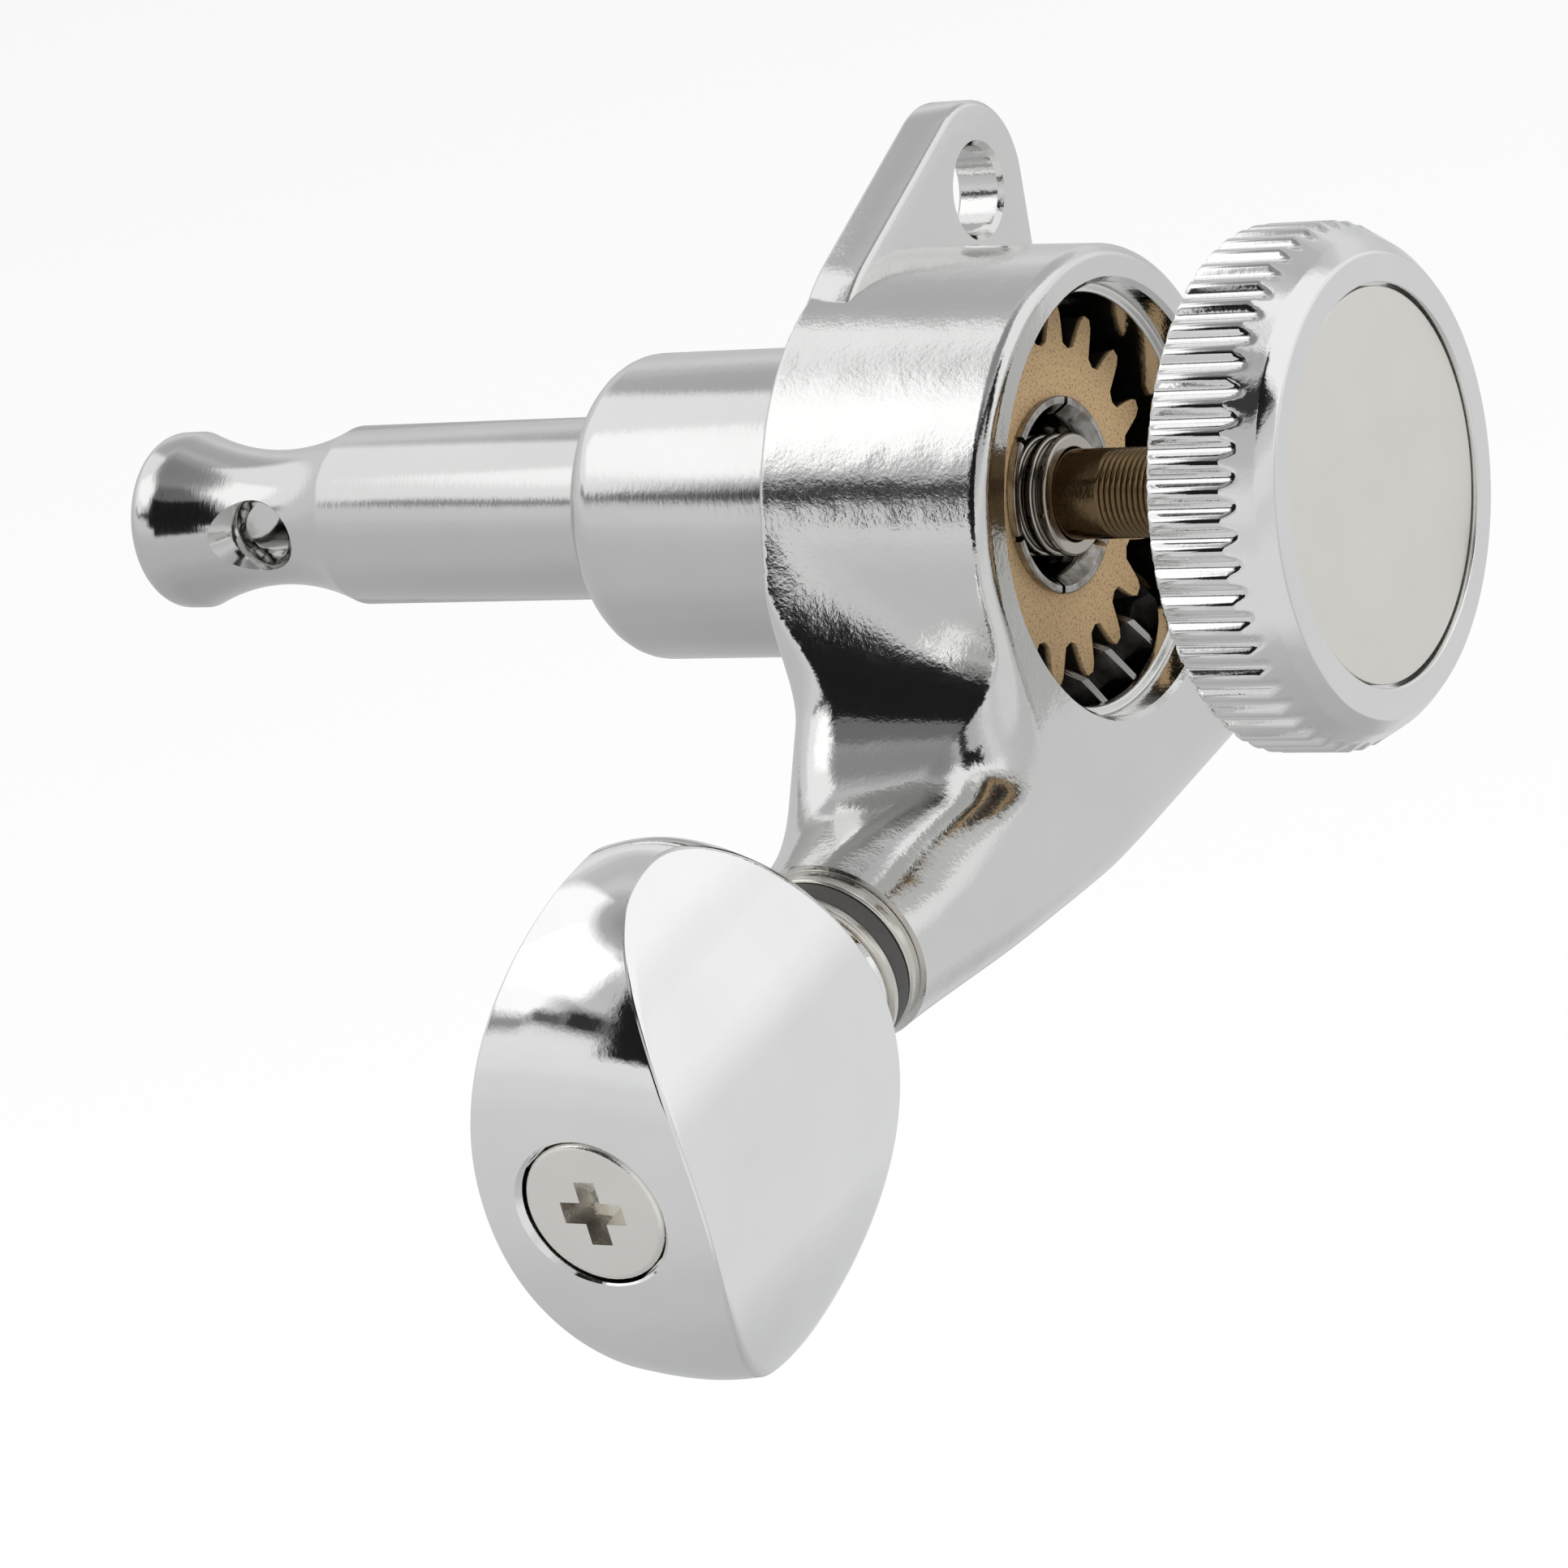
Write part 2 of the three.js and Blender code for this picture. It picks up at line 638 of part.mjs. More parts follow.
function innerBush() {
  const low = -wormBoreEnd - innerBushLength;
  return onAxle(tube(innerBushRadius, journalRadius + runningGap, low, -wormBoreEnd, smallSides));
}

function mouthBush() {
  const body = bar(mouthBushRadius, mouthReach - mouthBushBody, mouthReach + faceGap, smallSides);
  const flange = bar(mouthFlangeRadius, mouthReach + faceGap, wormFlangeEnd, roundSides);
  const hole = bar(journalRadius + runningGap, mouthReach - mouthBushBody - overrun, wormFlangeEnd + overrun, smallSides);
  return onAxle(body.add(flange).subtract(hole));
}

function frictionWasher() {
  const low = wormFlangeEnd + faceGap;
  const high = low + frictionWasherThickness;
  return onAxle(tube(frictionWasherRadius, journalRadius + pressGap, low, high, roundSides));
}

function steelWasher() {
  const low = wormFlangeEnd + frictionWasherThickness + 2 * faceGap;
  const high = low + steelWasherThickness;
  return onAxle(tube(steelWasherRadius, journalRadius + pressGap, low, high, roundSides));
}

// The button is a lens seen from its end and a rounded shield seen from behind, with a crowned
// rim, and its neck runs down to the washers
function button() {
  const centre = buttonEnd - buttonCrown - buttonOuterReach;
  const rowSteps = 20;
  const [outerSquareShare, innerSquareShare] = [2.19, 1.88];
  const ring = (side) => {
    const crown = buttonCrown * (1 - side * side);
    const innerCrown = buttonInnerCrown * (1 - side * side);
    const [outer, inner] = [[], []];
    for (let j = 0; j <= rowSteps; j += 1) {
      const rise = -Math.cos((Math.PI * j) / rowSteps);
      const left = Math.max(1 - Math.abs(rise) ** outerSquareShare, 0) ** (1 / outerSquareShare);
      const right = Math.max(1 - Math.abs(rise) ** innerSquareShare, 0) ** (1 / innerSquareShare);
      const y = rise * (buttonHalfHeight + crown);
      const z = side * THREE.MathUtils.lerp(buttonHalfThickness, buttonEdgeHalfThickness, rise * rise);
      outer.push(new THREE.Vector3(centre + left * (buttonOuterReach + crown), y, z));
      inner.push(new THREE.Vector3(centre - right * (buttonInnerReach + innerCrown), y, z));
    }
    return [...outer, ...inner.slice(1, -1).reverse()];
  };
  const sideShares = [-1, -0.5, 0, 0.5, 1];
  let body = skinned(sideShares.map(ring)).translate([0, -axleDrop, -axleDepth]);
  body = body.add(onAxle(bar(buttonNeckRadius, buttonStart, buttonStart + buttonNeckLength, roundSides)));

  const recessFloor = buttonEnd - screwHeadSink - screwHeadThickness - faceGap;
  const driveEnd = buttonStart + driveLength + pressGap;
  const drive = bar(journalRadius + pressGap, buttonStart - overrun, driveEnd, smallSides);
  const flatReach = journalRadius + overrun;
  const flatAt = driveFlat + pressGap;
  const flat = [[-flatReach, flatAt], [flatReach, flatAt], [flatReach, flatReach], [-flatReach, flatReach]];
  const flatSolid = solidOf(extruded(flat, buttonStart - 2 * overrun, driveEnd + overrun));
  const driveHole = drive.subtract(flatSolid).subtract(flatSolid.rotate([0, 0, 180]));
  const recess = bar(screwRecessRadius, recessFloor, buttonEnd + overrun, smallSides);
  const shank = bar(screwShankRadius + runningGap, buttonStart, buttonEnd, holeSides);
  return body.subtract(onAxle(driveHole)).subtract(onAxle(recess)).subtract(onAxle(shank));
}

function buttonScrew() {
  const headTop = buttonEnd - screwHeadSink;
  const headLow = headTop - screwHeadThickness;
  let screw = bar(screwHeadRadius, headLow, headTop, smallSides);
  screw = screw.add(bar(screwShankRadius, headLow - screwShankLength, headLow + overrun, holeSides));
  const [long, wide] = [crossLength / 2, crossWidth / 2];
  const arm = [[-long, -wide], [long, -wide], [long, wide], [-long, wide]];
  const armSolidCut = solidOf(extruded(arm, headTop - crossDepth, headTop + overrun));
  screw = screw.subtract(armSolidCut).subtract(armSolidCut.rotate([0, 0, 90]));
  return onAxle(screw);
}

function postInsert() {
  const neckStart = -insertOuter + insertNeckLength;
  const outer = turned([
    [0, -insertOuter],
    [insertNeckRadius, -insertOuter],
    [insertNeckRadius, neckStart],
    [insertRadius, neckStart],
    [insertRadius, insertInner - faceGap],
    [0, insertInner - faceGap],
  ], smallSides);
  return outer.subtract(bar(stemRadius + runningGap, -insertOuter - overrun, insertInner + overrun, smallSides));
}

function lockingPin() {
  return bar(pinRadius, stemInner + faceGap, pinTip, smallSides);
}

const hubShoulder = thumbBack;
const nutSeat = thumbBack + hubWall;

function lockStem() {
  const spigotEnd = nutSeat + nutThickness;
  return turned([
    [0, -spigotEnd],
    [stemSpigotRadius, -spigotEnd],
    [stemSpigotRadius, -hubShoulder + faceGap],
    [stemRadius, -hubShoulder + faceGap],
    [stemRadius, stemInner],
    [0, stemInner],
  ], smallSides);
}

function thumbWheel() {
  const ring = (radius, height, depth) => {
    const points = [];
    for (let i = 0; i < thumbFlutes * 2; i += 1) {
      const angle = (Math.PI * i) / thumbFlutes;
      const reach = i % 2 === 0 ? radius : radius - depth;
      points.push(new THREE.Vector3(reach * Math.cos(angle), reach * Math.sin(angle), height));
    }
    return points;
  };
  const valleyRadius = thumbRadius - thumbFluteDepth;
  let wheel = skinned([
    ring(thumbFaceRadius, -thumbFace, 0),
    ring(thumbMidRadius, -thumbFace + thumbMidBevel, 0),
    ring(valleyRadius, -thumbFace + thumbFluteEnd, 0),
    ring(thumbRadius, -thumbFace + thumbFaceBevel, thumbFluteDepth),
    ring(thumbRadius, -thumbBack - thumbBackBevel, thumbFluteDepth),
    ring(thumbRadius - thumbBackBevel, -thumbBack, 0),
  ]);
  const recessFloor = -thumbFace + discRecessDepth;
  wheel = wheel.subtract(bar(discRecessRadius, -thumbFace - overrun, recessFloor, fineSides));
  wheel = wheel.subtract(bar(nutPocketRadius, -thumbFace, -nutSeat, smallSides));
  return wheel.subtract(bar(stemSpigotRadius + pressGap, -thumbFace, 0, smallSides));
}

function wheelNut() {
  const points = [];
  const hexSides = 6;
  const radius = nutAcross / 2 / Math.cos(Math.PI / hexSides);
  for (let i = 0; i < hexSides; i += 1) {
    const angle = (fullTurn * i) / hexSides;
    points.push([radius * Math.cos(angle), radius * Math.sin(angle)]);
  }
  const high = -nutSeat - faceGap;
  const low = high - nutThickness;
  const nut = solidOf(extruded(points, low, high));
  return nut.subtract(bar(stemSpigotRadius + pressGap, low - overrun, high + overrun, smallSides));
}

function faceDisc() {
  const high = -thumbFace + discRecessDepth - faceGap;
  return bar(discRadius, high - discThickness, high, fineSides);
}

const pieces = [
  ['housing', housing, chromePlate],
  ['front_sleeve', frontSleeve, chromePlate],
  ['post_bush', postBush, sinteredBronze],
  ['gear_thrust_washer', thrustWasher, cutSteel],
  ['worm_inner_bush', innerBush, sinteredBronze],
  ['worm_mouth_bush', mouthBush, nickelPlate],
  ['string_post', stringPost, chromePlate],
  ['post_clip', postClip, cutSteel],
  ['worm_wheel', wormWheel, sinteredBronze],
  ['post_insert', postInsert, nickelPlate],
  ['locking_pin', lockingPin, cutSteel],
  ['lock_stem', lockStem, brass],
  ['thumb_wheel', thumbWheel, chromePlate],
  ['wheel_nut', wheelNut, cutSteel],
  ['face_disc', faceDisc, satinDisc],
  ['worm_shaft', wormShaft, cutSteel],
  ['worm_thrust_washer', wormThrustWasher, blackNylon],
  ['friction_washer', frictionWasher, blackNylon],
  ['steel_washer', steelWasher, nickelPlate],
  ['button', button, chromePlate],
  ['button_screw', buttonScrew, nickelPlate],
];

// Stands the machine up: the post then points to -X, the button to -Y and the ear up
const machine = new THREE.Group();
machine.rotation.set(quarterTurn, -quarterTurn, 0);
for (const [name, make, finish] of pieces) {
  const mesh = new THREE.Mesh(geometryOf(make()), new THREE.MeshStandardMaterial(finish));
  mesh.name = name;
  machine.add(mesh);
}

export default machine;
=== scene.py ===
# A locking guitar tuning machine, photographed on a pale table inside a light tent. Sizes are in
# millimetres on the bench, with the headstock seat at zero, Z along the string post, X along the
# worm to the button and Y to the screw ear. Each finished piece is stood up into the frame's place.

import bpy
import bmesh
import math
import numpy as np
from mathutils import Matrix, Vector


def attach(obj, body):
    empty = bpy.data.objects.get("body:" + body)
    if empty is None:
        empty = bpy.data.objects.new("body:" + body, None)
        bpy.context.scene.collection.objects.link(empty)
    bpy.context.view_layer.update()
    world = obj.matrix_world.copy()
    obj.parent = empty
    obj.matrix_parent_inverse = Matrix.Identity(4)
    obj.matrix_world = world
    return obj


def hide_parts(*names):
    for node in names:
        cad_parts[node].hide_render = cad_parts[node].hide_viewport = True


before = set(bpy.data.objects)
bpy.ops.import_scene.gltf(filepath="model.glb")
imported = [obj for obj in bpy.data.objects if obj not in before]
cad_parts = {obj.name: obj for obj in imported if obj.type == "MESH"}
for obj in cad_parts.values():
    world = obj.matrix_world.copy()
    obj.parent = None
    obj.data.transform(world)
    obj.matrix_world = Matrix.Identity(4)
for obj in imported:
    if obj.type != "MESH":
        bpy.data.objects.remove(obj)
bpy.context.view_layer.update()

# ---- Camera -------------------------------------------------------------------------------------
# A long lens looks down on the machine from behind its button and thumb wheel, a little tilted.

camera_place = Vector((0.11181, -0.16404, 0.07903))
camera_back = Vector((0.5379721, -0.7402386, 0.4032776))
camera_up = Vector((0.0017683, 0.4793950, 0.8775975))
camera_right = camera_up.cross(camera_back)

lens = bpy.data.cameras.new("lens")
lens.sensor_width = 36.0
lens.lens = 153.46
lens.clip_start = 0.01
camera = bpy.data.objects.new("camera", lens)
camera.matrix_world = Matrix.Translation(camera_place) @ Matrix(
    (camera_right, camera_up, camera_back)).transposed().to_4x4()
bpy.context.scene.collection.objects.link(camera)
bpy.context.scene.camera = camera
bpy.context.scene.view_settings.view_transform = "Standard"


# ---- Studio -------------------------------------------------------------------------------------
# White surroundings for the lens, plain soft lamps for what is not polished, and a pale table well
# below. The polished plating shows the inside of a light tent: soft boxes, bounce cards, gaps
# between them, black flags with thin wings, and a grey lower bowl. Only reflections see it.

def shader(name):
    made = bpy.data.materials.new(name)
    made.use_nodes = True
    nodes = made.node_tree.nodes
    nodes.clear()
    return made, nodes, made.node_tree.links


def added(nodes, kind, **values):
    """A new shader node with these values in its inputs; an underscore stands for a blank."""
    node = nodes.new("ShaderNode" + kind)
    for slot, value in values.items():
        node.inputs[slot.replace("_", " ")].default_value = value
    return node


def shown_rays(nodes, links):
    """Is 1 for the rays that show the surroundings as white, and 0 for those that only light."""
    path = nodes.new("ShaderNodeLightPath")
    seen = nodes.new("ShaderNodeMath")
    seen.operation = "MAXIMUM"
    links.new(path.outputs["Is Camera Ray"], seen.inputs[0])
    links.new(path.outputs["Is Glossy Ray"], seen.inputs[1])
    every = nodes.new("ShaderNodeMath")
    every.operation = "MAXIMUM"
    links.new(seen.outputs[0], every.inputs[0])
    links.new(path.outputs["Is Transmission Ray"], every.inputs[1])
    return every.outputs[0]


room = bpy.data.worlds.new("room")
room.use_nodes = True
bpy.context.scene.world = room
nodes, links = room.node_tree.nodes, room.node_tree.links
nodes.clear()
room_out = nodes.new("ShaderNodeOutputWorld")
room_light = added(nodes, "Background", Color=(0.95, 0.97, 1.0, 1.0), Strength=0.55)
room_white = added(nodes, "Background", Color=(1.0, 1.0, 1.0, 1.0), Strength=1.0)
room_mix = nodes.new("ShaderNodeMixShader")
links.new(shown_rays(nodes, links), room_mix.inputs[0])
links.new(room_light.outputs[0], room_mix.inputs[1])
links.new(room_white.outputs[0], room_mix.inputs[2])
links.new(room_mix.outputs[0], room_out.inputs["Surface"])

table_drop, table_half, table_glow = 0.2, 6.0, 0.8
table_mesh = bpy.data.meshes.new("table_top")
bm = bmesh.new()
bmesh.ops.create_grid(bm, x_segments=1, y_segments=1, size=table_half,
                      matrix=Matrix.Translation((0, 0, -table_drop)))
bm.to_mesh(table_mesh)
bm.free()
table = bpy.data.objects.new("table_top", table_mesh)
bpy.context.scene.collection.objects.link(table)
table_paint, nodes, links = shader("pale_table")
out = nodes.new("ShaderNodeOutputMaterial")
paint = added(nodes, "BsdfDiffuse", Color=(0.86, 0.86, 0.86, 1.0))
glow = added(nodes, "Emission", Strength=1.0)
soft = nodes.new("ShaderNodeMath")
soft.operation = "MULTIPLY"
soft.inputs[1].default_value = table_glow
links.new(shown_rays(nodes, links), soft.inputs[0])
mix = nodes.new("ShaderNodeMixShader")
links.new(soft.outputs[0], mix.inputs[0])
links.new(paint.outputs[0], mix.inputs[1])
links.new(glow.outputs[0], mix.inputs[2])
links.new(mix.outputs[0], out.inputs["Surface"])
table.data.materials.append(table_paint)

for lamp_name, lamp_place, lamp_size, lamp_power in (
    ("lamp_left", (-0.5, -0.35, 0.55), 0.5, 5.0),
    ("lamp_right", (0.5, 0.3, 0.5), 0.45, 3.5),
    ("lamp_front", (0.35, -0.6, 0.3), 0.4, 2.5),
):
    data = bpy.data.lights.new(lamp_name, "AREA")
    data.size = lamp_size
    data.energy = lamp_power
    lamp = bpy.data.objects.new(lamp_name, data)
    toward = Vector(lamp_place)
    facing = toward.to_track_quat("Z", "Y").to_matrix().to_4x4()
    lamp.matrix_world = Matrix.Translation(toward) @ facing
    bpy.context.scene.collection.objects.link(lamp)
    lamp.visible_glossy = False

tent_radius, bowl_share = 0.8, 0.19
tent_mesh = bpy.data.meshes.new("light_tent")
bm = bmesh.new()
bmesh.ops.create_uvsphere(bm, u_segments=96, v_segments=64, radius=tent_radius)
bowl = [v for v in bm.verts if v.co.z < 0]
bmesh.ops.scale(bm, vec=(1, 1, bowl_share), verts=bowl)
bmesh.ops.reverse_faces(bm, faces=bm.faces[:])
bm.to_mesh(tent_mesh)
bm.free()
tent = bpy.data.objects.new("light_tent", tent_mesh)
bpy.context.scene.collection.objects.link(tent)
tent.visible_camera = False
tent.visible_diffuse = False
tent.visible_shadow = False
tent.visible_transmission = False
tent.visible_volume_scatter = False
tent.data.shade_smooth()

tent_cloth, nodes, links = shader("tent_cloth")
out = nodes.new("ShaderNodeOutputMaterial")
where = nodes.new("ShaderNodeTexCoord")
unit = nodes.new("ShaderNodeVectorMath")
unit.operation = "NORMALIZE"
links.new(where.outputs["Object"], unit.inputs[0])
axes = nodes.new("ShaderNodeSeparateXYZ")
links.new(unit.outputs[0], axes.inputs[0])


def number(operation, *inputs, clamp=False):
    """A Math node in the tent's material, fed by numbers or by other nodes."""
    node = nodes.new("ShaderNodeMath")
    node.operation = operation
    node.use_clamp = clamp
    for slot, value in enumerate(inputs):
        if isinstance(value, (int, float)):
            node.inputs[slot].default_value = value
        else:
            links.new(value, node.inputs[slot])
    return node.outputs[0]


minus_y = number("MULTIPLY", axes.outputs["Y"], -1.0)
azimuth = number("DEGREES", number("ARCTAN2", axes.outputs["X"], minus_y))
elevation = number("DEGREES", number("ARCSINE", axes.outputs["Z"]))

# How bright the bare tent is at each elevation in degrees
levels = nodes.new("ShaderNodeValToRGB")
links.new(number("DIVIDE", number("ADD", elevation, 90.0), 180.0), levels.inputs[0])
levels.color_ramp.interpolation = "EASE"
tent_levels = (
    (-90, 0.40), (-60, 0.46), (-45, 0.51), (-24, 0.59), (-5, 0.61), (5, 0.66), (12, 0.74),
    (18, 0.76), (25, 0.62), (34, 0.52), (46, 0.50), (57, 0.58), (66, 0.42), (75, 0.29), (90, 0.26),
)
stops = levels.color_ramp.elements
while len(stops) < len(tent_levels):
    stops.new(0.5)
for stop, (angle, level) in zip(stops, tent_levels):
    stop.position = (angle + 90) / 180
    stop.color = (level, level, level, 1)
brightness = levels.outputs["Color"]

# Each card: centre and half width in azimuth, centre and half height in elevation, edge, level
tent_cards = (
    ("key_box", -84, 41, 43, 21, 6, 1.02),
    ("key_core", -60, 24, 48, 12, 5, 1.3),
    ("fill_box", 119, 32, 39, 30, 8, 0.96),
    ("fill_skirt", 138, 22, -2, 12, 10, 0.88),
    ("rear_bounce", 160, 48, -32, 22, 12, 0.69),
    ("front_bounce", 46, 32, -18, 18, 12, 0.74),
    ("front_sheet", 40, 8, 15, 7, 6, 0.72),
    ("front_gap", -4, 22, 58, 11, 9, 0.17),
    ("overhead_gap", 50, 45, 53, 6, 4, 0.04),
    ("front_flag", -8, 20, 33, 17, 2.5, 0.012),
    ("flag_foot", -4, 12, 13, 6, 3, 0.012),
    ("near_wing", -32.5, 5, 27.6, 4.2, 4, 0.03),
    ("middle_wing", -41, 4.5, 26.2, 2.4, 3, 0.1),
    ("far_wing", -55, 10.5, 23.2, 2.5, 3.5, 0.28),
    ("side_flag", 74, 12, 44, 13, 3, 0.013),
)
for card, across, half_across, up, half_up, edge, level in tent_cards:
    turned_to = number("WRAP", number("SUBTRACT", azimuth, float(across)), 180.0, -180.0)
    raised_to = number("SUBTRACT", elevation, float(up))
    beside = number("SUBTRACT", half_across + edge / 2, number("ABSOLUTE", turned_to))
    beside = number("DIVIDE", beside, float(edge), clamp=True)
    above = number("SUBTRACT", half_up + edge / 2, number("ABSOLUTE", raised_to))
    above = number("DIVIDE", above, float(edge), clamp=True)
    share = number("MULTIPLY", beside, above)
    change = number("MULTIPLY", number("SUBTRACT", level, brightness), share)
    brightness = number("ADD", brightness, change)

light = added(nodes, "Emission", Color=(0.985, 0.995, 1.0, 1.0))
links.new(brightness, light.inputs["Strength"])
links.new(light.outputs[0], out.inputs["Surface"])
tent.data.materials.append(tent_cloth)


# ---- Casting ------------------------------------------------------------------------------------
# The cup for the gear, the screw ear and the worm arm are one zinc die casting, blended by a wide
# fillet, ground on the outside, then copper, nickel and chrome plated. The cup, the worm bore and
# the screw hole are machined into it.

axle_drop, axle_depth = 7.45, 4.33
seat_radius, rim_radius, cup_depth, cup_drop = 8.25, 8.0, 8.15, 0.2
barrel_end, mouth_reach, mouth_radius = -8.5, 16.0, 3.05
barrel_bottom, barrel_taper_start, front_taper_start = 4.05, 2.0, 9.0
barrel_end_round, taper_ease = 3.0, 0.15
seat_fillet, rear_fillet, inner_fillet, fillet_span = 7.5, 3.6, 0.8, (-1, 5)
seat_round, rim_round, lower_round, lower_edge_span = 0.2, 0.45, 2.5, (-8.5, -6.0)
seat_edge_growth = ((2.25, 7, 12.5), (0.55, 13, 19.5))
rear_edge_growth = ((1.75, 9, 15), (0.85, 15, 20.4))
ear_reach, ear_angle, ear_radius, ear_thickness = 10.25, math.radians(132), 2.9, 1.7
ear_root_reach, ear_round = 2.5, 0.2

millimetre = 0.001
stand_up = Matrix.Scale(millimetre, 4) @ Matrix(
    ((0, 0, -1, 0), (-1, 0, 0, 0), (0, 1, 0, 0), (0, 0, 0, 1)))
on_axle = Matrix.Translation((0, -axle_drop, -axle_depth)) @ Matrix.Rotation(math.pi / 2, 4, "Y")


def spun(outline, steps=96, turn_to=Matrix.Identity(4)):
    """A turned body about Z. An outline point is radius, height and, if it is rounded, a radius."""
    made = bmesh.new()
    corners = [made.verts.new((point[0], 0, point[1])) for point in outline]
    closed = outline[0][0] > 0
    for first, second in zip(corners, corners[1:] + corners[:1] if closed else corners[1:]):
        made.edges.new((first, second))
    for corner, point in zip(corners, outline):
        if len(point) > 2:
            bmesh.ops.bevel(made, geom=[corner], offset=point[2], segments=8, profile=0.5,
                            affect="VERTICES", material=-1)
    bmesh.ops.spin(made, geom=made.verts[:] + made.edges[:], cent=(0, 0, 0), axis=(0, 0, 1),
                   dvec=(0, 0, 0), angle=math.tau, steps=steps, use_merge=True,
                   use_normal_flip=False, use_duplicate=False)
    bmesh.ops.remove_doubles(made, verts=made.verts[:], dist=1e-4)
    bmesh.ops.recalc_face_normals(made, faces=made.faces[:])
    bmesh.ops.transform(made, matrix=turn_to, verts=made.verts[:])
    return made


def bench_object(made, name):
    """A bmesh as an object on the bench, in millimetres."""
    mesh = bpy.data.meshes.new(name)
    made.to_mesh(mesh)
    made.free()
    thing = bpy.data.objects.new(name, mesh)
    bpy.context.scene.collection.objects.link(thing)
    return thing


def settled(thing):
    """Applies an object's modifiers to its mesh."""
    bpy.context.view_layer.update()
    shaped = bpy.data.meshes.new_from_object(
        thing.evaluated_get(bpy.context.evaluated_depsgraph_get()))
    thing.modifiers.clear()
    thing.data = shaped
    return thing


def cut(thing, *cutters, operation="DIFFERENCE"):
    """Cuts bmesh bodies out of an object, or joins them to it."""
    for cutter in cutters:
        tool = bench_object(cutter, "cutter")
        step = thing.modifiers.new("cut", "BOOLEAN")
        step.operation = operation
        step.solver = "MANIFOLD"
        step.object = tool
        settled(thing)
        bpy.data.objects.remove(tool)
    return thing


def finished(thing, material, body, *nodes_replaced, crease=30):
    """Stands a bench piece up in its place, smooths its faces up to a crease and hands it over."""
    thing.data.transform(stand_up)
    thing.data.shade_smooth()
    thing.data.set_sharp_from_angle(angle=math.radians(crease))
    thing.data.materials.clear()
    thing.data.materials.append(material)
    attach(thing, body)
    if nodes_replaced:
        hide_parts(*nodes_replaced)
    return thing


def ramp(value, low, high):
    """Goes smoothly from 0 at the low value to 1 at the high one."""
    share = np.clip((value - low) / (high - low), 0, 1)
    return share * share * (3 - 2 * share)


def round_union(a, b, radius):
    """The distance to two bodies together, with a fillet of this radius where they meet."""
    inside = np.hypot(np.maximum(radius - a, 0), np.maximum(radius - b, 0))
    return np.maximum(radius, np.minimum(a, b)) - inside


def round_meeting(a, b, radius):
    """The distance to what two bodies share, with its edge rounded to this radius."""
    return -round_union(-a, -b, radius)


def arm_taper(reach, start):
    """How much of a taper is done at a reach; it sets in gently and then runs straight."""
    share, ease = np.clip((reach - start) / (mouth_reach - start), 0, 1), taper_ease
    return np.where(share < 2 * ease, share * share / (4 * ease), share - ease) / (1 - ease)


def plan_distance(place):
    """How far a place stands out of the casting's outline, seen along the string post."""
    reach, depth = place[:, 0], -place[:, 2]
    radius = seat_radius + (rim_radius - seat_radius) * np.clip(depth / cup_depth, 0, 1)
    cup = np.hypot(reach, place[:, 1] + cup_drop) - radius
    up = place[:, 1] + axle_drop
    down = barrel_bottom - (barrel_bottom - mouth_radius) * arm_taper(reach, barrel_taper_start)
    arm = np.maximum(up - mouth_radius, -up - down)
    arm = round_meeting(arm, barrel_end - reach, barrel_end_round)
    fillet = seat_fillet + (rear_fillet - seat_fillet) * np.clip(depth / cup_depth, 0, 1)
    return round_union(cup, arm,
                       inner_fillet + (fillet - inner_fillet) * ramp(reach, *fillet_span))


def grown(radius, on_way, growth):
    """An edge's radius once it has grown, step by step, on the way from the ear to the mouth."""
    for more, start, end in growth:
        radius = radius + more * ramp(on_way, start, end)
    return radius


def casting_distance(place):
    """How far a place stands out of the casting's skin: its outline between a seat and a rear face,
    with edges that are crisp round the cup and grow into the round section of the mouth."""
    reach, depth = place[:, 0], -place[:, 2]
    below = 1 - ramp(place[:, 1], *lower_edge_span)
    below_round = lower_round + (mouth_radius - lower_round) * ramp(
        reach, front_taper_start, mouth_reach)
    on_way = reach - place[:, 1]
    seat_edge = grown(seat_round, on_way, seat_edge_growth)
    rear_edge = grown(rim_round, on_way, rear_edge_growth)
    rear_depth = cup_depth - (cup_depth - axle_depth - mouth_radius) * arm_taper(
        reach, barrel_taper_start)
    front_depth = (axle_depth - mouth_radius) * arm_taper(reach, front_taper_start)
    body = round_meeting(plan_distance(place), depth - rear_depth,
                         rear_edge + (below_round - rear_edge) * below)
    return round_meeting(body, front_depth - depth, seat_edge + (below_round - seat_edge) * below)


def skin_slope(place, distance, step=0.005):
    """The slope of a distance at each place, measured over a short step both ways."""
    slope = np.empty_like(place)
    for axis in range(3):
        nudge = np.zeros(3)
        nudge[axis] = step
        slope[:, axis] = (distance(place + nudge) - distance(place - nudge)) / (2 * step)
    return slope


def pulled_to_skin(thing, distance, rounds, least_slope=0.2, longest_pull=0.4):
    """Moves each vertex along the slope of a distance until it lies on the skin."""
    place = np.empty(len(thing.data.vertices) * 3)
    thing.data.vertices.foreach_get("co", place)
    place = place.reshape(-1, 3)
    for _ in range(rounds):
        slope = skin_slope(place, distance)
        size = np.maximum((slope ** 2).sum(axis=1), least_slope)
        pull = np.clip(distance(place) / size, -longest_pull, longest_pull)
        place = place - pull[:, None] * slope
    thing.data.vertices.foreach_set("co", place.ravel())
    thing.data.update()


def revoxeled(thing, size):
    """Gives an object an even skin of small squares."""
    step = thing.modifiers.new("even_skin", "REMESH")
    step.mode = "VOXEL"
    step.voxel_size = size
    return settled(thing)


